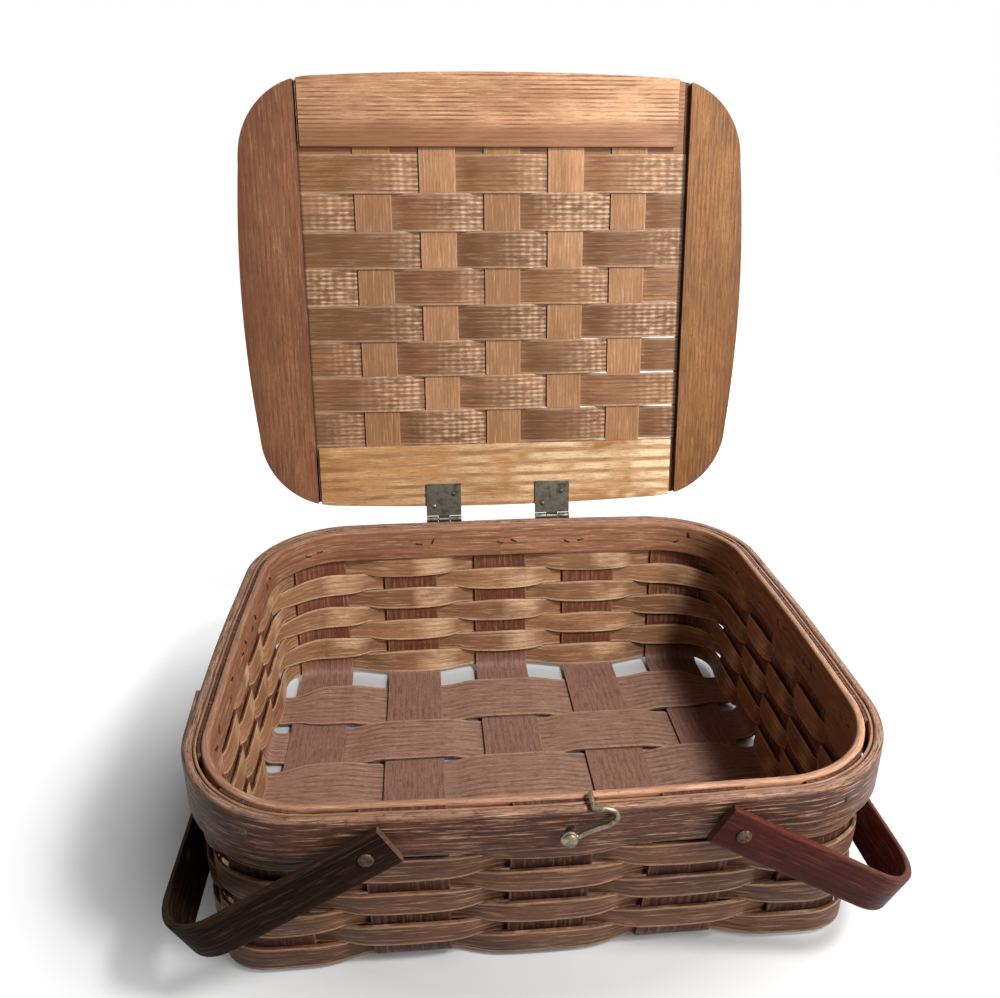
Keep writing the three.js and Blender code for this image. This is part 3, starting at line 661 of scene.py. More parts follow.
# %% Weavers
for row in range(WEAVER_ROWS):
    stations = [(row, k, s / STEPS_BETWEEN) for k in range(len(stake_turns)) for s in range(STEPS_BETWEEN)]
    stations.append(stations[0])
    # A painted highlight on the inside runs.
    painted_highlight = [weaver_highlight(*at) for at in stations]
    sheet = strap([weaver_row(*at) for at in stations], STRIPS["weavers"] + row, painted_highlight=painted_highlight)
    face_out(sheet)
    add_piece(f"weaver_splint_{row + 1}", sheet, "body", [weaver_outside_shaded, weaver_inside],
              f"weaver_{row + 1}", WEAVER_THICKNESS, SPLINT_EASE)
print("weavers:", WEAVER_ROWS)

# %% [markdown]
# ## Rim
# Two bent hoops clamp the tops of the stakes and the last row of weaving between them. They were shaved
# and sanded, and their top edges are round from wear. The outer hoop's end laps over its own start on
# the left. A hoop could be a swept curve, but rows of points let its offset and its unevenness change
# on the way round.

# %% Hoops
HOOP_STEPS = 280
HOOP_DIP, HOOP_SWAY, DIP_PACE, SWAY_PACE = 0.6 * MM, 0.25 * MM, 2.2, 1.7


def hoop(low, high, offset, outline_points, number, first=0.0, last=4.0, steps=HOOP_STEPS):
    """A bar bent round the wall, with the small unevenness of bent wood. Offset may change on the way from
    first to last."""
    rows = []
    for k in range(steps + 1):
        share = k / steps
        turn = first + (last - first) * share
        spot = Vector((math.cos(turn * math.pi / 2), math.sin(turn * math.pi / 2), 0)) * DIP_PACE
        dip = abs(noise.noise(spot + Vector((0, 0, low / MM)))) * HOOP_DIP
        sway = noise.noise(spot * SWAY_PACE + Vector((0, 0, 9 + high / MM))) * HOOP_SWAY
        middle = (low + high) / 2 - dip
        rows.append([wall(turn, middle + up, offset(share) + sway + out) for out, up in outline_points])
    bar = strap(rows, number)
    bmesh.ops.recalc_face_normals(bar, faces=bar.faces)
    return bar


print("a hoop dips by up to", round(HOOP_DIP / MM, 1), "mm and sways by", round(HOOP_SWAY / MM, 2), "mm")

# %% Rim
HOOP_ROUNDING, ROW_ROUNDING, LAP_ROUNDING = 1.5 * MM, 0.4 * MM, 0.8 * MM
RIM_ROW_LOW, RIM_ROW_HIGH = HEIGHT - 21 * MM, HEIGHT - 0.9 * MM
# The lap starts and ends at these turns.
LAP_START, LAP_END, LAP_STEPS = 2.62, 2.83, 30
LAP_THICKNESS, LAP_INSET = 2.2 * MM, 1.2 * MM
outer_section = section(OUTER_HOOP_THICKNESS, OUTER_HOOP_HEIGHT, HOOP_ROUNDING)
inner_section = section(INNER_HOOP_THICKNESS, INNER_HOOP_HEIGHT, HOOP_ROUNDING, seam=1)
row_section = section(WEAVER_THICKNESS, RIM_ROW_HIGH - RIM_ROW_LOW, ROW_ROUNDING)
outer_middle = (OUTER_HOOP_IN + OUTER_HOOP_OUT) / 2
inner_middle = INNER_HOOP_OUT - INNER_HOOP_THICKNESS / 2
bar = hoop(HEIGHT - OUTER_HOOP_HEIGHT, HEIGHT, lambda share: outer_middle, outer_section,
           STRIPS["outer hoop"])
add_piece("rim_outer_band", bar, "body", [outer_hoop_ash], "rim_outer_hoop")
bar = hoop(HEIGHT - INNER_HOOP_HEIGHT, HEIGHT, lambda share: inner_middle, inner_section,
           STRIPS["inner hoop"])
add_piece("rim_inner_band", bar, "body", [inner_hoop_ash], "rim_inner_hoop")
bar = hoop(RIM_ROW_LOW, RIM_ROW_HIGH, lambda share: WEAVE_OFFSET, row_section, STRIPS["rim row"])
add_piece("rim_row_splint", bar, "body", [inner_hoop_ash])
lap_low, lap_high = HEIGHT - OUTER_HOOP_HEIGHT + LAP_INSET, HEIGHT - LAP_INSET
lap_section = section(LAP_THICKNESS, lap_high - lap_low, LAP_ROUNDING)
bar = hoop(lap_low, lap_high, lambda share: OUTER_HOOP_OUT + (0.5 - share) * LAP_THICKNESS, lap_section,
           STRIPS["lap"], LAP_END, LAP_START, LAP_STEPS)
close_ends(bar)
add_piece("rim_outer_band_lap", bar, "body", [outer_hoop_ash, end_grain])
print("the outer hoop stands out", round(OUTER_HOOP_OUT / MM, 1), "mm from the middle of the wall")

# %% [markdown]
# ## Metal
# The hinges are plated steel gone dull, the hook is nickel-plated wire, and the nails are dark iron.
# Old plating is cloudy: patches of oxide are darker and rougher, and rubbed places stay bright. One
# noise therefore drives the colour, the roughness and a faint relief together.

# %% Metal
OXIDE_RELIEF = 0.1 * MM


def worn_metal(name, bright, dull, cloud, roughness):
    """A metal with clouds of oxide. Cloud is their size in millimetres."""
    made, tree = new_material(name)
    place = add(tree, "ShaderNodeTexCoord").outputs["Object"]
    clouds = add(tree, "ShaderNodeTexNoise", {
        "Vector": place, "Scale": 1 / (cloud * MM), "Detail": 5.0, "Roughness": 0.65}).outputs[0]
    oxide = add(tree, "ShaderNodeMapRange", {"Value": clouds, "From Min": 0.38, "From Max": 0.62}).outputs[0]
    colour = add(tree, "ShaderNodeMix", {0: oxide, 6: linear(bright), 7: linear(dull)},
                 data_type="RGBA").outputs[2]
    gloss = add(tree, "ShaderNodeMapRange", {
        "Value": oxide, "To Min": roughness[0], "To Max": roughness[1]}).outputs[0]
    bump = add(tree, "ShaderNodeBump", {"Height": clouds, "Strength": 0.25, "Distance": OXIDE_RELIEF})
    shader = add(tree, "ShaderNodeBsdfPrincipled", {
        "Base Color": colour, "Roughness": gloss, "Metallic": 1.0, "Normal": bump.outputs[0]})
    add(tree, "ShaderNodeOutputMaterial", {"Surface": shader.outputs[0]})
    return made


# Plated steel gives a soft grey shine with darker clouds.
hinge_steel = worn_metal("dulled_plated_steel", "#7d776a", "#494439", 5, (0.38, 0.6))
# Nickel is a little warmer and smoother, so the wire draws a bright line.
latch_nickel = worn_metal("dulled_nickel", "#8f856e", "#5a5142", 4, (0.3, 0.5))
# Iron is brown-black and rough, and only just glints.
nail_iron = worn_metal("dark_iron", "#5a4a3d", "#332a24", 2, (0.5, 0.7))
print("metals:", ", ".join(metal.name for metal in (hinge_steel, latch_nickel, nail_iron)))

# %% [markdown]
# ## Turned heads
# Nails, rivets, pins and screws are round. A head is drawn as half of its outline, with its shank, and
# spun about its axis. A squashed ball on a cylinder would do from afar, but it has no rim to catch the
# light.

# %% Turned heads
HEAD_SIDES, SMALL_SIDES = 24, 16
DOME_STEPS = (18, 36, 54, 72)
RIM_INSET, RIM_RISE = 0.96, 0.12


def turned(profile, place, axis, sides=HEAD_SIDES):
    """A bmesh turned round an axis from a list of radius and height. The profile starts and ends on the
    axis."""
    bm = bmesh.new()
    points = [bm.verts.new((radius, 0, height)) for radius, height in profile]
    edges = [bm.edges.new(pair) for pair in zip(points, points[1:])]
    bmesh.ops.spin(bm, geom=points + edges, cent=(0, 0, 0), axis=(0, 0, 1), angle=2 * math.pi, steps=sides,
                   use_merge=True)
    bmesh.ops.remove_doubles(bm, verts=bm.verts, dist=DOUBLES)
    bmesh.ops.recalc_face_normals(bm, faces=bm.faces)
    turn = Vector((0, 0, 1)).rotation_difference(axis).to_matrix().to_4x4()
    bmesh.ops.transform(bm, matrix=Matrix.Translation(place) @ turn, verts=bm.verts)
    return bm


def domed(head, shank):
    """The profile of a round head on a shank. Each is a radius and a length."""
    radius, height = head
    shank_radius, length = shank
    angles = [math.radians(degrees) for degrees in DOME_STEPS]
    return [(0, -length), (shank_radius, -length), (shank_radius, 0), (radius * RIM_INSET, 0),
            (radius, height * RIM_RISE), *[(radius * math.cos(a), height * math.sin(a)) for a in angles],
            (0, height)]


print("a domed head has", len(domed((2 * MM, 1 * MM), (1 * MM, 3 * MM))), "points in its profile")

# %% [markdown]
# ## Nails in the rim
# A nail by each stake holds the hoops together, with a thin brad beside it that is driven from outside
# and whose head is lost in the grain. The nail's head shows outside, flat and dark, and both points are
# bent over into small hooks inside. The heads are kept clear of the handles' tails, the hinges and the
# latch. A bent point could be a straight peg, but a short strap with a lift in its middle catches the
# light as a hammered point does.

# %% Nails
NAIL_HEAD, NAIL_SHANK = (2.3 * MM, 0.55 * MM), (0.8 * MM, 3 * MM)
NAIL_DROP, SCATTER, MOST_SLOPE = 12 * MM, (5 * MM, 9 * MM), 3
CLINCH_LENGTH, CLINCH_WIDTH, CLINCH_THICKNESS, CLINCH_EASE = 5 * MM, 1 * MM, 0.7 * MM, 0.2 * MM
BRAD_SPACING = 10 * MM
# How far the nails by some stakes are moved along the rim, to keep clear.
NAIL_SHIFTS = {1: 7 * MM, 3: -7 * MM, 12: -6 * MM, 11: -8 * MM, 13: 8 * MM}
# Shares of the length, and the lift there in millimetres.
CLINCH_LIFT = ((-0.5, -0.4), (-0.2, 0.35), (0.3, 0.3), (0.5, -0.3))
heads, clinches = [], []
for k, turn in enumerate(stake_turns):
    for brad in range(2):
        chance = wobble(k * 3.1, brad * 2.2)
        z = HEIGHT - NAIL_DROP + chance * SCATTER[brad]
        shift = NAIL_SHIFTS.get(k, 0) + brad * math.copysign(BRAD_SPACING, chance)
        nail_turn = turn + shift / quarter(z)
        inside = wall(nail_turn, z, INNER_HOOP_OUT - INNER_HOOP_THICKNESS)
        outside = wall(nail_turn, z, OUTER_HOOP_OUT)
        way = (outside - inside).normalized()
        if not brad:
            heads.append(turned(domed(NAIL_HEAD, NAIL_SHANK), outside, way, SMALL_SIDES))
        slope = wobble(k * 5.7, 1 + 1.7 * brad) * MOST_SLOPE
        along = Vector((-way.y, way.x, 0)) * math.cos(slope) + Vector((0, 0, 1)) * math.sin(slope)
        across = way.cross(along)
        rows = []
        for a, lift in CLINCH_LIFT:
            middle = inside + along * CLINCH_LENGTH * a - way * lift * MM
            rows.append([middle + across * CLINCH_WIDTH * c for c in (-0.5, 0, 0.5)])
        clinches.append(strap(rows))
print("nails:", len(heads), "clinched points:", len(clinches))
add_piece("rim_nail_heads", joined(heads), "body", [nail_iron])
add_piece("rim_nail_clinches", joined(clinches), "body", [nail_iron], None, CLINCH_THICKNESS,
          CLINCH_EASE)

# %% [markdown]
# ## Handles
# Each handle is a thick strap, steamed and bent to a U, that hangs on a rivet at each end. Its section
# is a plain rectangle with eased edges. The left one is nearly black and the right one is a dark
# mahogany red. A handle is made lying flat about its pivot, where the U is easy to draw, and is then
# hung at its angle.

# %% Handle route
SIDES = (("left", -1), ("right", 1))
HANDLE_REACH, HANDLE_WIDTH, HANDLE_THICKNESS = 109 * MM, 20.5 * MM, 3.6 * MM
HANDLE_BEND, HANDLE_TAIL, HANDLE_ROUNDING = 34 * MM, 12 * MM, 0.9 * MM
HANDLE_HANG = math.radians(30.96)
HANDLE_SWAY, HANDLE_PACE = 0.6 * MM, 0.09
PIVOT_X, PIVOT_Z = 82 * MM, HEIGHT - 17.5 * MM
handle_low, handle_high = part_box("left_handle")
ARM_OUTSIDE = (handle_high.y - handle_low.y) / 2
ARM_STEPS, TURN_STEPS, BOW_STEPS = 14, 12, 24


def handle_route():
    """The middle of the strap, from one tail to the other, in the handle's own plane, and the way out of the
    U."""
    arm = ARM_OUTSIDE - HANDLE_THICKNESS / 2
    radius = HANDLE_BEND - HANDLE_THICKNESS / 2
    bend_x, bend_y = HANDLE_REACH - HANDLE_BEND, ARM_OUTSIDE - HANDLE_BEND
    half = [(-HANDLE_TAIL + (bend_x + HANDLE_TAIL) * k / ARM_STEPS, -arm, 0, -1) for k in range(ARM_STEPS)]
    for k in range(TURN_STEPS):
        out_x, out_y = math.sin(math.pi / 2 * k / TURN_STEPS), -math.cos(math.pi / 2 * k / TURN_STEPS)
        half.append((bend_x + radius * out_x, -bend_y + radius * out_y, out_x, out_y))
    bow = [(bend_x + radius, bend_y * (2 * k / BOW_STEPS - 1), 1, 0) for k in range(BOW_STEPS + 1)]
    return half + bow + [(x, -y, out_x, -out_y) for x, y, out_x, out_y in reversed(half)]


print("a handle's route has", len(handle_route()), "stations")

# %% Handles
# Dark stain with a dry surface: the grain shows as faint lines, and the edges are rubbed a little paler.
handle_ash = {
    "left": ash("left_handle_ash", "#0f0806", "#271811", "#5a4437", (11.5, 3.2), ring=2.6, rings=0.7,
                pores=0.8, streaks=0.4, wear=0.35, roughness=(0.6, 0.8), shine=0.03),
    "right": ash("right_handle_ash", "#1e0906", "#4a1c14", "#744033", (11.5, 3.2), ring=3.2, pores=0.7,
                 streaks=0.3, wear=0.3, roughness=(0.4, 0.6), shine=0.05),
}
handle_section = section(HANDLE_THICKNESS, HANDLE_WIDTH, HANDLE_ROUNDING)
for name, side in SIDES:
    rows = []
    for k, (x, y, out_x, out_y) in enumerate(handle_route()):
        sway = wobble(k * HANDLE_PACE, side * 4) * HANDLE_SWAY
        rows.append([Vector((x + out_x * out, y + out_y * out, up + sway)) for out, up in handle_section])
    bar = strap(rows, STRIPS["handles"] + side)
    close_ends(bar)
    hang = Matrix.Rotation(side * HANDLE_HANG, 4, "Y")
    place = Matrix.Translation((side * PIVOT_X, CENTRE_Y, PIVOT_Z)) @ hang
    if side < 0:
        place = place @ Matrix.Rotation(math.pi, 4, "Z")
    bmesh.ops.transform(bar, matrix=place, verts=bar.verts)
    add_piece(f"{name}_handle_strap", bar, f"{name}_handle", [handle_ash[name], end_grain],
              f"{name}_handle")
print("handles:", len(handle_ash))

# %% Rivets
RIVET_HEAD, RIVET_SHANK = (3.5 * MM, 1.3 * MM), (1.5 * MM, 7 * MM)
for name, side in SIDES:
    for end_name, end in (("front", -1), ("back", 1)):
        seat = Vector((side * PIVOT_X, CENTRE_Y + end * (ARM_OUTSIDE + CLEARANCE), PIVOT_Z))
        head = turned(domed(RIVET_HEAD, RIVET_SHANK), seat, Vector((0, end, 0)))
        add_piece(f"{name}_{end_name}_rivet_head", head, "body", [nail_iron],
                  f"{name}_handle_{end_name}_rivet")
print("rivets sit", round((ARM_OUTSIDE + CLEARANCE) / MM, 1), "mm from the middle")

# %% [markdown]
# ## Hinges
# A butt hinge is two sheet-metal leaves whose ends are rolled round one pin. Each leaf is made as the
# sheet that it is: a flat plate, and a strip for each knuckle that rolls round the pin. Two nails, set
# on a slant, hold a leaf. The lid's leaf is made as it lies when the lid is shut, and then swings open
# with the lid.

# %% Hinge leaves
LID_OPEN = math.radians(98)
HINGE_X, HINGE_WIDTH, LEAF_LENGTH, LEAF_THICKNESS = 40 * MM, 25.4 * MM, 24 * MM, 0.9 * MM
KNUCKLE_RADIUS, PIN_RADIUS, MIDDLE_KNUCKLE = 2.2 * MM, 0.9 * MM, 8.4 * MM
PLATE_STEPS, ROLL_STEPS, ROLL_START, ROLL_SWEEP, ROLL_LEAD = 4, 14, 150, 285, 0.4 * MM
pin_low, pin_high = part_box("left_hinge_pin")
HINGE_Y = (pin_low.y + pin_high.y) / 2
LEAF_START = KNUCKLE_RADIUS + CLEARANCE
SIDE_KNUCKLE = (HINGE_WIDTH - MIDDLE_KNUCKLE) / 2 - CLEARANCE


def leaf(middle, level, knuckles):
    """A hinge leaf lying towards -Y, at a level over the pin's middle. Knuckles are the first and last X of
    each."""
    def sheet(profile, low, high):
        return strap([[Vector((low + (high - low) * c / 2, y, z)) for c in range(3)] for y, z in profile])

    radius = KNUCKLE_RADIUS - LEAF_THICKNESS / 2
    far = -LEAF_START - LEAF_LENGTH
    plate = [(far + LEAF_LENGTH * k / PLATE_STEPS, level) for k in range(PLATE_STEPS + 1)]
    roll = [(-LEAF_START - ROLL_LEAD, level), (-LEAF_START, level)]
    for k in range(ROLL_STEPS + 1):
        angle = math.radians(ROLL_START - ROLL_SWEEP * k / ROLL_STEPS)
        roll.append((radius * math.cos(angle), radius * math.sin(angle)))
    parts = [sheet(plate, middle - HINGE_WIDTH / 2, middle + HINGE_WIDTH / 2)]
    parts += [sheet(roll, middle + low, middle + high) for low, high in knuckles]
    return joined(parts)


print("the hinge pins lie", round((HINGE_Y - CENTRE_Y) / MM, 1), "mm behind the middle")

# %% Hinges
# Shares of the width and of the length of a leaf.
LEAF_NAILS = ((-0.28, 0.3), (0.28, 0.68))
LEAF_NAIL_HEAD, LEAF_NAIL_SHANK = (1.7 * MM, 0.8 * MM), (0.7 * MM, 1 * MM)
LEAF_EASE, PIN_TIP, PIN_CHAMFER = 0.2 * MM, 0.7 * PIN_RADIUS, 0.3 * MM
lid_place = Matrix.Translation((0, HINGE_Y, HEIGHT)) @ Matrix.Rotation(-LID_OPEN, 4, "X")
rim_place = Matrix.Translation((0, HINGE_Y, HEIGHT)) @ Matrix.Rotation(math.pi / 2, 4, "X")
half_width, half_middle = HINGE_WIDTH / 2, MIDDLE_KNUCKLE / 2
side_knuckles = [(-half_width, -half_width + SIDE_KNUCKLE), (half_width - SIDE_KNUCKLE, half_width)]
pin_profile = [(0, -half_width), (PIN_TIP, -half_width), (PIN_RADIUS, -half_width + PIN_CHAMFER),
               (PIN_RADIUS, half_width - PIN_CHAMFER), (PIN_TIP, half_width), (0, half_width)]
leaf_nail = domed(LEAF_NAIL_HEAD, LEAF_NAIL_SHANK)
for name, side in SIDES:
    x = side * HINGE_X
    lid_leaf = leaf(x, CLEARANCE + LEAF_THICKNESS / 2, [(-half_middle, half_middle)])
    rim_leaf = leaf(x, KNUCKLE_RADIUS + CLEARANCE - LEAF_THICKNESS / 2, side_knuckles)
    leaves = ((lid_leaf, lid_place, "lid", "lid_leaf"), (rim_leaf, rim_place, "body", "rim_leaf"))
    for part, place, body, node in leaves:
        bmesh.ops.transform(part, matrix=place, verts=part.verts)
        add_piece(f"{name}_hinge_{node}_sheet", part, body, [hinge_steel],
                  f"{name}_hinge_{node}", LEAF_THICKNESS, LEAF_EASE)
    lid_nails, rim_nails = [], []
    for across, along in LEAF_NAILS:
        seat = Vector((x + across * HINGE_WIDTH, -LEAF_START - along * LEAF_LENGTH, CLEARANCE))
        head = turned(leaf_nail, seat, Vector((0, 0, -1)), SMALL_SIDES)
        bmesh.ops.transform(head, matrix=lid_place, verts=head.verts)
        lid_nails.append(head)
        seat = Vector((x + across * HINGE_WIDTH, HINGE_Y - LEAF_START + LEAF_THICKNESS,
                       HEIGHT - LEAF_START - along * LEAF_LENGTH))
        rim_nails.append(turned(leaf_nail, seat, Vector((0, 1, 0)), SMALL_SIDES))
    add_piece(f"{name}_hinge_lid_nails", joined(lid_nails), "lid", [hinge_steel])
    add_piece(f"{name}_hinge_rim_nails", joined(rim_nails), "body", [hinge_steel])
    pin = turned(pin_profile, Vector((x, HINGE_Y, HEIGHT)), Vector((1, 0, 0)), SMALL_SIDES)
    add_piece(f"{name}_hinge_wire_pin", pin, "body", [hinge_steel], f"{name}_hinge_pin")
print("hinges:", len(SIDES), "nails in each leaf:", len(LEAF_NAILS))

# %% [markdown]
# ## Lid boards
# Two layers of thin boards clamp the ends of the lid's weave. They are sawn, so their growth rings show
# as straight or sweeping lines, and each board came from another part of the tree. A board is made
# flat, as the lid lies when it is shut, with its grain straight along it, and is then swung open with
# the lid.

# %% Lid outline
LID_SETBACK, LID_FRONT_INSET, LID_CORNER = 9 * MM, 1 * MM, 52 * MM
LID_SIDE_BOW, LID_END_BOW, LID_OVERHANG = 5 * MM, 3 * MM, 1 * MM
BOARD_THICKNESS, SIDE_BOARD, CROSS_BOARD = 3 * MM, 44 * MM, 46 * MM
LID_SPLINT_THICKNESS = 1.2 * MM
LID_UNDER = LEAF_THICKNESS + 2 * CLEARANCE
LID_MIDDLE = LID_UNDER + BOARD_THICKNESS + CLEARANCE + LID_SPLINT_THICKNESS / 2
LID_LAYERS = {"inner": LID_UNDER + BOARD_THICKNESS / 2,
              "outer": LID_MIDDLE + LID_SPLINT_THICKNESS / 2 + CLEARANCE + BOARD_THICKNESS / 2}
SIDE_STEPS, CROSS_STEPS, BOARD_COLUMNS, BOARD_TIP = 60, 48, 6, 0.2 * MM
lid_back = -LID_SETBACK
lid_front = -(HINGE_Y - CENTRE_Y) - (RIM_DEPTH / 2 + RIM_BOW) + LID_FRONT_INSET
LID_CENTRE_Y = (lid_back + lid_front) / 2
half_deep = (lid_back - lid_front) / 2 - LID_END_BOW
half_long = RIM_LENGTH / 2 + RIM_BOW + LID_OVERHANG - LID_SIDE_BOW
WINDOW_X = half_long + LID_SIDE_BOW - SIDE_BOARD
WINDOW_Y = half_deep + LID_END_BOW - CROSS_BOARD
corner_x, corner_y = half_long - LID_CORNER, half_deep - LID_CORNER


def edge_past(place, corner, straight, bow, start):
    """How far the lid's edge is out, at a place along it: bowed on its straight, then round the corner."""
    past = abs(place) - corner
    if past > 0:
        return start + math.sqrt(max(LID_CORNER ** 2 - past ** 2, 0))
    t = (place / corner + 1) / 2
    return straight + 4 * bow * t * (1 - t)


def side_board(gap):
    """Rows of the right-hand board, with a gap between it and the window."""
    inner = WINDOW_X + gap
    end = corner_y + math.sqrt(LID_CORNER ** 2 - max(inner - corner_x, 0) ** 2) - BOARD_TIP
    rows = []
    for k in range(SIDE_STEPS + 1):
        y = -end * math.cos(math.pi * k / SIDE_STEPS)
        wide = edge_past(y, corner_y, half_long, LID_SIDE_BOW, corner_x) - inner
        rows.append([Vector((inner + wide * c / BOARD_COLUMNS, y, 0)) for c in range(BOARD_COLUMNS + 1)])
    return rows


def cross_board(low, high, inner):
    """Rows of the back board, from one end to the other."""
    rows = []
    for k in range(CROSS_STEPS + 1):
        x = low + (high - low) * k / CROSS_STEPS
        wide = edge_past(x, corner_x, half_deep, LID_END_BOW, corner_y) - inner
        rows.append([Vector((x, inner + wide * c / BOARD_COLUMNS, 0)) for c in range(BOARD_COLUMNS + 1)])
    return rows


print("the lid's window is", round(2 * WINDOW_X / MM, 1), "by", round(2 * WINDOW_Y / MM, 1), "mm")

# %% Lid boards
INNER_GAPS = {"right": 3 * MM, "left": 1 * MM}
FRONT_SHORT, END_GAP, OUTER_LEDGE, BOARD_EASE = 5.5 * MM, 1.2 * MM, 6 * MM, 0.5 * MM
# The grain of each layer's boards starts elsewhere, by so many times the layer's height.
LAYER_GRAIN = 900
# The side boards are brown with straight rings, and darker towards their outer edges. The front board is pale
# with strong rings and a dark band by the weave. The back board is golden, with broad sweeping rings and a
# painted highlight that grows along it towards the right.
board_ash = {
    "left": ash("left_board_ash", "#613b29", "#946447", "#bb8e70", ring=3.4, rings=0.6, pores=0.75,
                streaks=0.35, band=(150, 176, 0.7), sway=1.0),
    "right": ash("right_board_ash", "#5f3c24", "#92653b", "#b98a58", ring=3.0, rings=0.7, pores=0.7,
                 streaks=0.3, band=(158, 176, 0.5), sway=1.0),
    "front": ash("front_board_ash", "#7d5339", "#cf9f78", "#ecc9a6", ring=2.7, rings=1.0, pores=0.5,
                 streaks=0.35, band=(119, 110, 0.75), sway=0.8),
    "back": ash("back_board_ash", "#875a35", "#bd8e5e", "#f6d8ae", ring=8.5, rings=0.8, pores=0.55,
                streaks=0.3, sway=5, sweep=0.14, highlight_strength=0.85),
}
for layer, level in LID_LAYERS.items():
    inner_layer = layer == "inner"
    for name, turn in (("right", 0), ("left", math.pi), ("back", 0), ("front", math.pi)):
        start = level * LAYER_GRAIN
        if name in ("right", "left"):
            rows = side_board(INNER_GAPS[name] if inner_layer else CLEARANCE)
            sheet = strap(rows, flat=lambda p: (p.y + start, p.x))
        elif inner_layer:
            short = FRONT_SHORT if name == "front" else END_GAP
            rows = cross_board(-WINDOW_X + short, WINDOW_X - END_GAP, WINDOW_Y)
            # A painted highlight that grows along the board; only the back board's finish shows it.
            painted_highlight = [k / len(rows) for k in range(len(rows))]
            sheet = strap(rows, flat=lambda p: (p.x + start, p.y), painted_highlight=painted_highlight)
        else:
            rows = cross_board(-WINDOW_X, WINDOW_X, WINDOW_Y - (OUTER_LEDGE if name == "front" else 0))
            sheet = strap(rows, flat=lambda p: (p.x + start, p.y))
        lay = Matrix.Translation((0, LID_CENTRE_Y, level)) @ Matrix.Rotation(turn, 4, "Z")
        bmesh.ops.transform(sheet, matrix=lid_place @ lay, verts=sheet.verts)
        add_piece(f"lid_{layer}_{name}_plank", sheet, "lid", [board_ash[name]],
                  f"lid_{layer}_{name}_board", BOARD_THICKNESS, BOARD_EASE)
print("lid boards:", len(LID_LAYERS) * len(board_ash))

# %% [markdown]
# ## Lid weave
# Five upright splints run from the front board to the back board, and eight rows go over and under
# them. The rows show pale ladders, painted as a highlight on the right-hand half of each run, and
# painted shade where they go under the boards. A woven picture on one board would look flat from the
# side, so each splint is a sheet of its own.

# %% Lid weave
UPRIGHTS, UPRIGHT_WIDTH, UPRIGHT_MARGIN, UPRIGHT_SHIFT = 5, 24.5 * MM, 30 * MM, 5 * MM
LID_ROWS, ROW_MARGIN, ROW_EXTRA, ROW_OVERLAP = 8, 3.5 * MM, 2 * MM, 0.5 * MM
LID_WEAVE = LID_SPLINT_THICKNESS + CLEARANCE
# The painted highlight on the rows: shares of the way from one upright to the next, and strengths.
ROW_HIGHLIGHT_LEAD, ROW_HIGHLIGHT_FADE, ROW_HIGHLIGHT_SPREAD, ROW_HIGHLIGHT_STRENGTH, ROW_HIGHLIGHT_VARIETY = 0.15, 0.6, 0.6, 0.8, 0.4
# Painted shade where the rows go under the boards: where it starts, how it fades, and its most.
ROW_SHADE_RIGHT, ROW_SHADE_LEFT, ROW_SHADE_FADE, ROW_SHADE_MOST = 0.6 * MM, 0.2 * MM, 1 * MM, 0.85
upright_reach = WINDOW_X - UPRIGHT_MARGIN - UPRIGHT_WIDTH / 2
upright_x = [UPRIGHT_SHIFT + upright_reach * (2 * i / (UPRIGHTS - 1) - 1) for i in range(UPRIGHTS)]
upright_pitch = 2 * upright_reach / (UPRIGHTS - 1)
row_pitch = (2 * (WINDOW_Y - ROW_MARGIN) + ROW_EXTRA) / LID_ROWS


def row_height(x, row):
    """How far a row stands off the lid's middle, over one upright and under the next."""
    spaces = [-WINDOW_X, *upright_x, WINDOW_X]
    i = max(k for k in range(len(spaces) - 1) if k == 0 or x >= spaces[k])
    p = min(max((x - spaces[i]) / (spaces[i + 1] - spaces[i]), 0), 1)
    hold = UPRIGHT_WIDTH / 2 / (spaces[i + 1] - spaces[i])
    sign = 1 if (i - 1 + row) % 2 else -1
    if i == 0:
        return -sign * LID_WEAVE * (1 - held(p, hold)) / 2
    if i == len(spaces) - 2:
        return sign * LID_WEAVE * (1 + held(p, hold)) / 2
    return sign * LID_WEAVE * held(p, hold)


def row_highlight(x, row):
    """The painted highlight on a row: on the right-hand half of each run that shows inside the lid."""
    turns = (x - upright_x[0]) / upright_pitch
    i = round(turns)
    if (i + row) % 2:
        i += 1 if turns > i else -1
    if i < -1:
        i += 2
    chance = wobble(i * 3.7, row * 2.3, 0.4)
    highlit = min(max((turns - i + ROW_HIGHLIGHT_LEAD + ROW_HIGHLIGHT_SPREAD * chance) / ROW_HIGHLIGHT_FADE, 0), 1)
    return highlit * (ROW_HIGHLIGHT_STRENGTH + ROW_HIGHLIGHT_VARIETY * chance)


def row_shade(x):
    """Painted shade where a row goes under the boards, most on the right."""
    right = (x - WINDOW_X + ROW_SHADE_RIGHT) / ROW_SHADE_FADE
    left = (-x - WINDOW_X + ROW_SHADE_LEFT) / ROW_SHADE_FADE
    return min(max(right, left, 0), ROW_SHADE_MOST)


print("lid rows are", round(row_pitch / MM, 1), "mm apart, uprights", round(upright_pitch / MM, 1), "mm")

# %% Lid splints
ROW_SHIFT, ROW_DRIFT, LOOSE_GAP, LOOSE_ROW = 1.9 * MM, 0.3 * MM, 1.4 * MM, 4
SPLINT_TUCK, LID_SPLINT_EASE = 28 * MM, 0.25 * MM
UPRIGHT_STEPS, ROW_STEPS = 40, 240
SPLINT_SHARES = [c / 4 - 0.5 for c in range(5)]
# The rows are mid brown, with pale ladders painted as a highlight on the right-hand half of each run.
lid_row_ash = ash("lid_row_ash", "#5d3f29", "#976b4b", "#ecc9a6", (11.7, 1.2), ring=3.1, rings=0.6,
                  pores=0.45, streaks=0.15, ticks=0.9, highlit=True, wear=0.2, sway=0.8,
                  roughness=(0.46, 0.66))
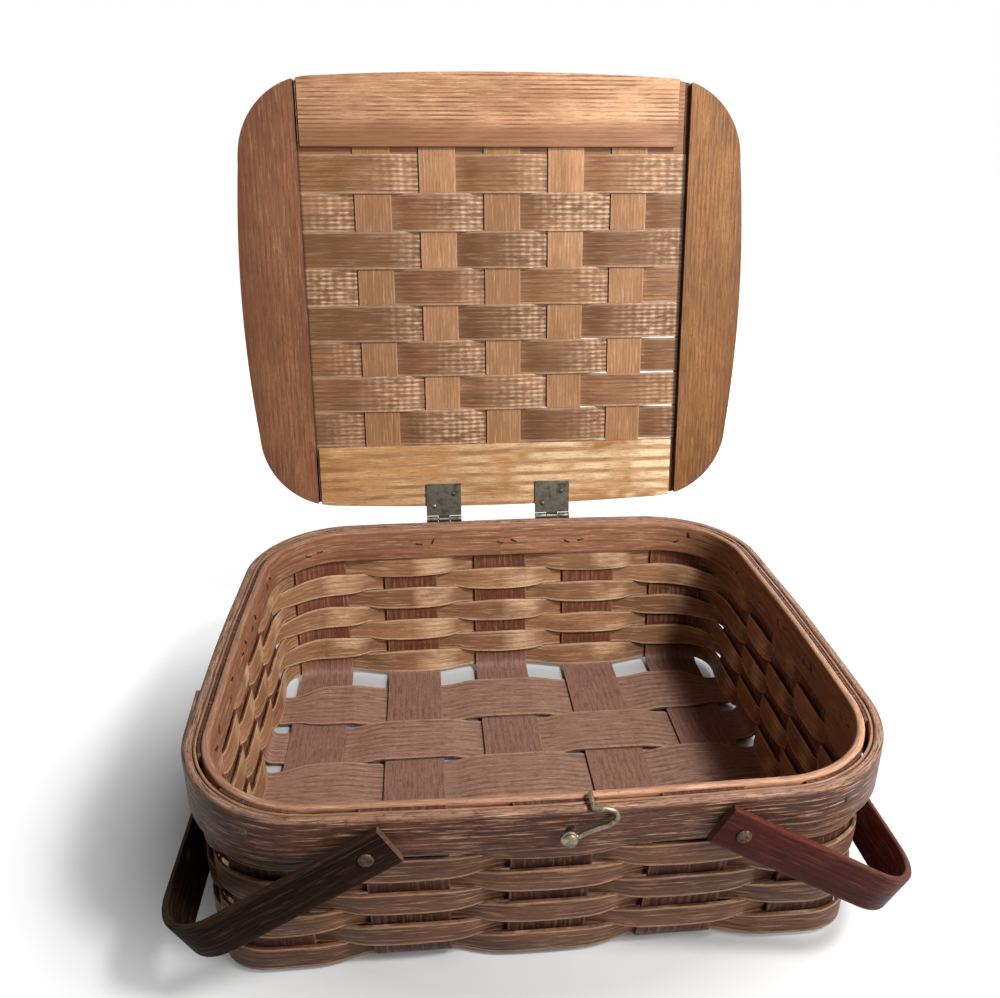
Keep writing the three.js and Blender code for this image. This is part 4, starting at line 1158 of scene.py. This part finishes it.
# The uprights are paler, with fine close rings.
lid_upright_ash = ash("lid_upright_ash", "#7d5738", "#b88a65", "#e0bd98", (12.2, 1), ring=2.2, rings=0.4,
                      pores=0.5, streaks=0.3, wear=0.2)
for i, x in enumerate(upright_x):
    end = WINDOW_Y + SPLINT_TUCK
    rows = []
    for k in range(UPRIGHT_STEPS + 1):
        y = LID_CENTRE_Y + end * (2 * k / UPRIGHT_STEPS - 1)
        rows.append([Vector((x + UPRIGHT_WIDTH * share, y, LID_MIDDLE)) for share in SPLINT_SHARES])
    sheet = strap(rows, STRIPS["uprights"] + i)
    bmesh.ops.transform(sheet, matrix=lid_place, verts=sheet.verts)
    add_piece(f"lid_upright_strip_{i + 1}", sheet, "lid", [lid_upright_ash],
              f"lid_upright_splint_{i + 1}", LID_SPLINT_THICKNESS, LID_SPLINT_EASE)
for row in range(LID_ROWS):
    end = WINDOW_X + SPLINT_TUCK
    drift = wobble(row * 2.7, 5) * ROW_DRIFT
    places = [end * (2 * k / ROW_STEPS - 1) for k in range(ROW_STEPS + 1)]
    rows = []
    for x in places:
        loose = LOOSE_GAP * min(max(x / WINDOW_X, 0), 1) if row >= LOOSE_ROW else 0
        width = row_pitch + ROW_OVERLAP - loose
        y = LID_CENTRE_Y + ROW_SHIFT + (row - (LID_ROWS - 1) / 2) * row_pitch + drift * x / end
        z = LID_MIDDLE + row_height(x, row)
        rows.append([Vector((x, y + width * share, z)) for share in SPLINT_SHARES])
    painted_highlight = [row_highlight(x, row) for x in places]
    sheet = strap(rows, STRIPS["lid rows"] + row, painted_highlight=painted_highlight, painted_shade=[row_shade(x) for x in places])
    bmesh.ops.transform(sheet, matrix=lid_place, verts=sheet.verts)
    add_piece(f"lid_row_strip_{row + 1}", sheet, "lid", [lid_row_ash],
              f"lid_row_splint_{row + 1}", LID_SPLINT_THICKNESS, LID_SPLINT_EASE)
print("lid splints:", UPRIGHTS + LID_ROWS)

# %% [markdown]
# ## Latch
# A bent wire hook turns on a screw in the front of the rim. The wire is one curve: an eye round the
# screw, an arm, and a finger that reaches back over the rim. A curve with a round bevel is the simplest
# way to bend wire, and it is turned into a mesh, like every other piece.

# %% Latch route
HOOK_X, HOOK_Z = 5 * MM, HEIGHT - 14 * MM
WIRE_RADIUS, EYE_RADIUS = 1.2 * MM, 3 * MM
EYE_STEPS, EYE_SWEEP = 10, 325
ARM_LENGTH, ARM_ANGLE, ARM_SHARES = 22 * MM, math.radians(22), (0.35, 0.62, 0.88)
FINGER_X, FINGER_REACH, FINGER_RISE, FINGER_BEND = 10 * MM, 10 * MM, 15.5 * MM, 1.1 * MM
HOOK_Y = CENTRE_Y - (RIM_DEPTH / 2 + RIM_BOW + CLEARANCE + WIRE_RADIUS)
arm = Vector((math.cos(ARM_ANGLE), 0, math.sin(ARM_ANGLE))) * ARM_LENGTH
route = []
for k in range(EYE_STEPS + 1):
    angle = ARM_ANGLE + math.radians(EYE_SWEEP - EYE_SWEEP * k / EYE_STEPS)
    route.append(Vector((math.cos(angle), 0, math.sin(angle))) * EYE_RADIUS)
route += [arm * share for share in ARM_SHARES]
route.append(Vector((arm.x, 0, (arm.z + FINGER_RISE) / 2)))
route.append(Vector(((arm.x + FINGER_X) / 2, 0, FINGER_RISE)))
route.append(Vector((FINGER_X + 2 * FINGER_BEND, 0, FINGER_RISE)))
route += [Vector((FINGER_X, y, FINGER_RISE)) for y in (FINGER_BEND, 2 * FINGER_BEND, FINGER_REACH)]
print("the hook's wire passes", len(route), "points")

# %% Latch
WIRE_ROUNDNESS = 4
SCREW_HEAD, SCREW_SHANK = (3.5 * MM, 1.3 * MM), (1.5 * MM, 6.5 * MM)
curve = bpy.data.curves.new("latch_wire", "CURVE")
curve.dimensions = "3D"
curve.bevel_depth = WIRE_RADIUS
curve.bevel_resolution = WIRE_ROUNDNESS
curve.use_fill_caps = True
spline = curve.splines.new("BEZIER")
spline.bezier_points.add(len(route) - 1)
for point, place in zip(spline.bezier_points, route):
    point.co = place + Vector((HOOK_X, HOOK_Y, HOOK_Z))
    point.handle_left_type = point.handle_right_type = "AUTO"
wire = bpy.data.objects.new("latch_wire", curve)
bpy.context.scene.collection.objects.link(wire)
bent = bpy.data.meshes.new_from_object(wire.evaluated_get(bpy.context.evaluated_depsgraph_get()))
bpy.data.objects.remove(wire)
bm = bmesh.new()
bm.from_mesh(bent)
bmesh.ops.remove_doubles(bm, verts=bm.verts, dist=DOUBLES)
print("the bent wire has", len(bm.faces), "faces")
add_piece("latch_hook_wire", bm, "latch_hook", [latch_nickel], "latch_hook")
seat = Vector((HOOK_X, HOOK_Y - WIRE_RADIUS - CLEARANCE, HOOK_Z))
screw = turned(domed(SCREW_HEAD, SCREW_SHANK), seat, Vector((0, -1, 0)))
add_piece("latch_screw_head", screw, "body", [latch_nickel], "latch_screw")

# %% [markdown]
# ## Floor
# The basket stands on a plain white sheet, as in a small studio. The sheet shows some light of its own,
# so that it reads as white, but not under the basket, where it keeps its shade. That light is only for
# the rays that show the background, straight or in a reflection, so the sheet's glow doesn't light the
# basket.

# %% White paper
FOOTPRINT_X, FOOTPRINT_Y = 200 * MM, 165 * MM
# Distances, in footprints, between which the glow grows, and by how much.
GLOWS = ((0.9, 1.6, 0.75), (1.6, 3.0, 0.25))


def background_rays(tree):
    """1 for the rays that show the background, straight or in a reflection, and 0 for those that light the
    basket."""
    path = add(tree, "ShaderNodeLightPath")
    shown = 0.0
    for ray in ("Is Camera Ray", "Is Glossy Ray", "Is Transmission Ray"):
        shown = add(tree, "ShaderNodeMath", {0: path.outputs[ray], 1: shown}, operation="MAXIMUM").outputs[0]
    return shown


def white_stage(name):
    """White paper whose own glow, which lights nothing else, grows with the distance from the basket."""
    made, tree = new_material(name)
    spot = add(tree, "ShaderNodeSeparateXYZ", {"Vector": add(tree, "ShaderNodeTexCoord").outputs["Object"]})
    away = 0.0
    for axis, middle, reach in (("X", 0.0, FOOTPRINT_X), ("Y", CENTRE_Y, FOOTPRINT_Y)):
        off = add(tree, "ShaderNodeMath", {0: spot.outputs[axis], 1: middle}, operation="SUBTRACT").outputs[0]
        far = add(tree, "ShaderNodeMath", {0: off}, operation="ABSOLUTE").outputs[0]
        share = add(tree, "ShaderNodeMath", {0: far, 1: reach}, operation="DIVIDE").outputs[0]
        squared = add(tree, "ShaderNodeMath", {0: share, 1: 2.0}, operation="POWER").outputs[0]
        away = add(tree, "ShaderNodeMath", {0: squared, 1: away}, operation="ADD").outputs[0]
    away = add(tree, "ShaderNodeMath", {0: away}, operation="SQRT").outputs[0]
    glow = 0.0
    for low, high, strength in GLOWS:
        step = add(tree, "ShaderNodeMapRange", {
            "Value": away, "From Min": low, "From Max": high, "To Max": strength}).outputs[0]
        glow = add(tree, "ShaderNodeMath", {0: step, 1: glow}, operation="ADD").outputs[0]
    shown = add(tree, "ShaderNodeMath", {0: background_rays(tree), 1: glow}, operation="MULTIPLY").outputs[0]
    paper = add(tree, "ShaderNodeBsdfDiffuse", {"Color": linear("#b8b8b8")})
    light = add(tree, "ShaderNodeEmission", {"Color": linear("#ffffff"), "Strength": shown})
    both = add(tree, "ShaderNodeAddShader", {0: paper.outputs[0], 1: light.outputs[0]})
    add(tree, "ShaderNodeOutputMaterial", {"Surface": both.outputs[0]})
    return made


print("the paper's glow starts", GLOWS[0][0], "footprints from the middle")

# %% Floor
FLOOR_SIZE, FLOOR_DROP = 6, 0.2 * MM
bm = bmesh.new()
under = Matrix.Translation((0, 0, -FLOOR_DROP))
bmesh.ops.create_grid(bm, x_segments=1, y_segments=1, size=FLOOR_SIZE, matrix=under)
floor_mesh = bpy.data.meshes.new("studio_floor")
bm.to_mesh(floor_mesh)
bm.free()
# Matt paper: no shine, and a soft shadow round the basket.
floor_mesh.materials.append(white_stage("white_paper"))
studio_floor = bpy.data.objects.new("studio_floor", floor_mesh)
bpy.context.scene.collection.objects.link(studio_floor)
print("the floor reaches", FLOOR_SIZE, "m each way")

# %% [markdown]
# ## Light
# A small, hard key lamp stands high on the right in front, so that the right-hand wall throws its
# shadow into the basket. A larger, softer lamp below it fills the front, and a wide one behind brings
# out the lid's outside and the back. The sky adds a little light all round, and looks white where it is
# seen.

# %% Sky
AMBIENT = 0.03
world = bpy.data.worlds.new("studio")
bpy.context.scene.world = world
world.use_nodes = True
tree = world.node_tree
tree.nodes.clear()
strength = add(tree, "ShaderNodeMapRange", {
    "Value": background_rays(tree), "To Min": AMBIENT, "To Max": 1.0}).outputs[0]
sky = add(tree, "ShaderNodeBackground", {"Color": linear("#ffffff"), "Strength": strength})
add(tree, "ShaderNodeOutputWorld", {"Surface": sky.outputs[0]})
print("the sky lights the basket with a strength of", AMBIENT)

# %% Lamps
# Each lamp's place and size in metres, and its power in watts.
LAMPS = {
    "key": ((0.45, -0.455, 0.85), 0.16, 11.0),
    "fill": ((0.46, -0.56, 0.44), 0.36, 4.9),
    "back": ((0.35, 1.0, 0.7), 0.8, 7.0),
}
AIM = Vector((0, 0, 0.12))
for name, (place, size, power) in LAMPS.items():
    lamp = bpy.data.objects.new(f"{name}_lamp", bpy.data.lights.new(f"{name}_lamp", "AREA"))
    lamp.data.size = size
    lamp.data.energy = power
    lamp.location = place
    lamp.rotation_euler = (AIM - Vector(place)).to_track_quat("-Z", "Y").to_euler()
    bpy.context.scene.collection.objects.link(lamp)
    print(name, "lamp:", power, "W at", round((AIM - Vector(place)).length, 2), "m")
bpy.context.scene.view_settings.view_transform = "Standard"
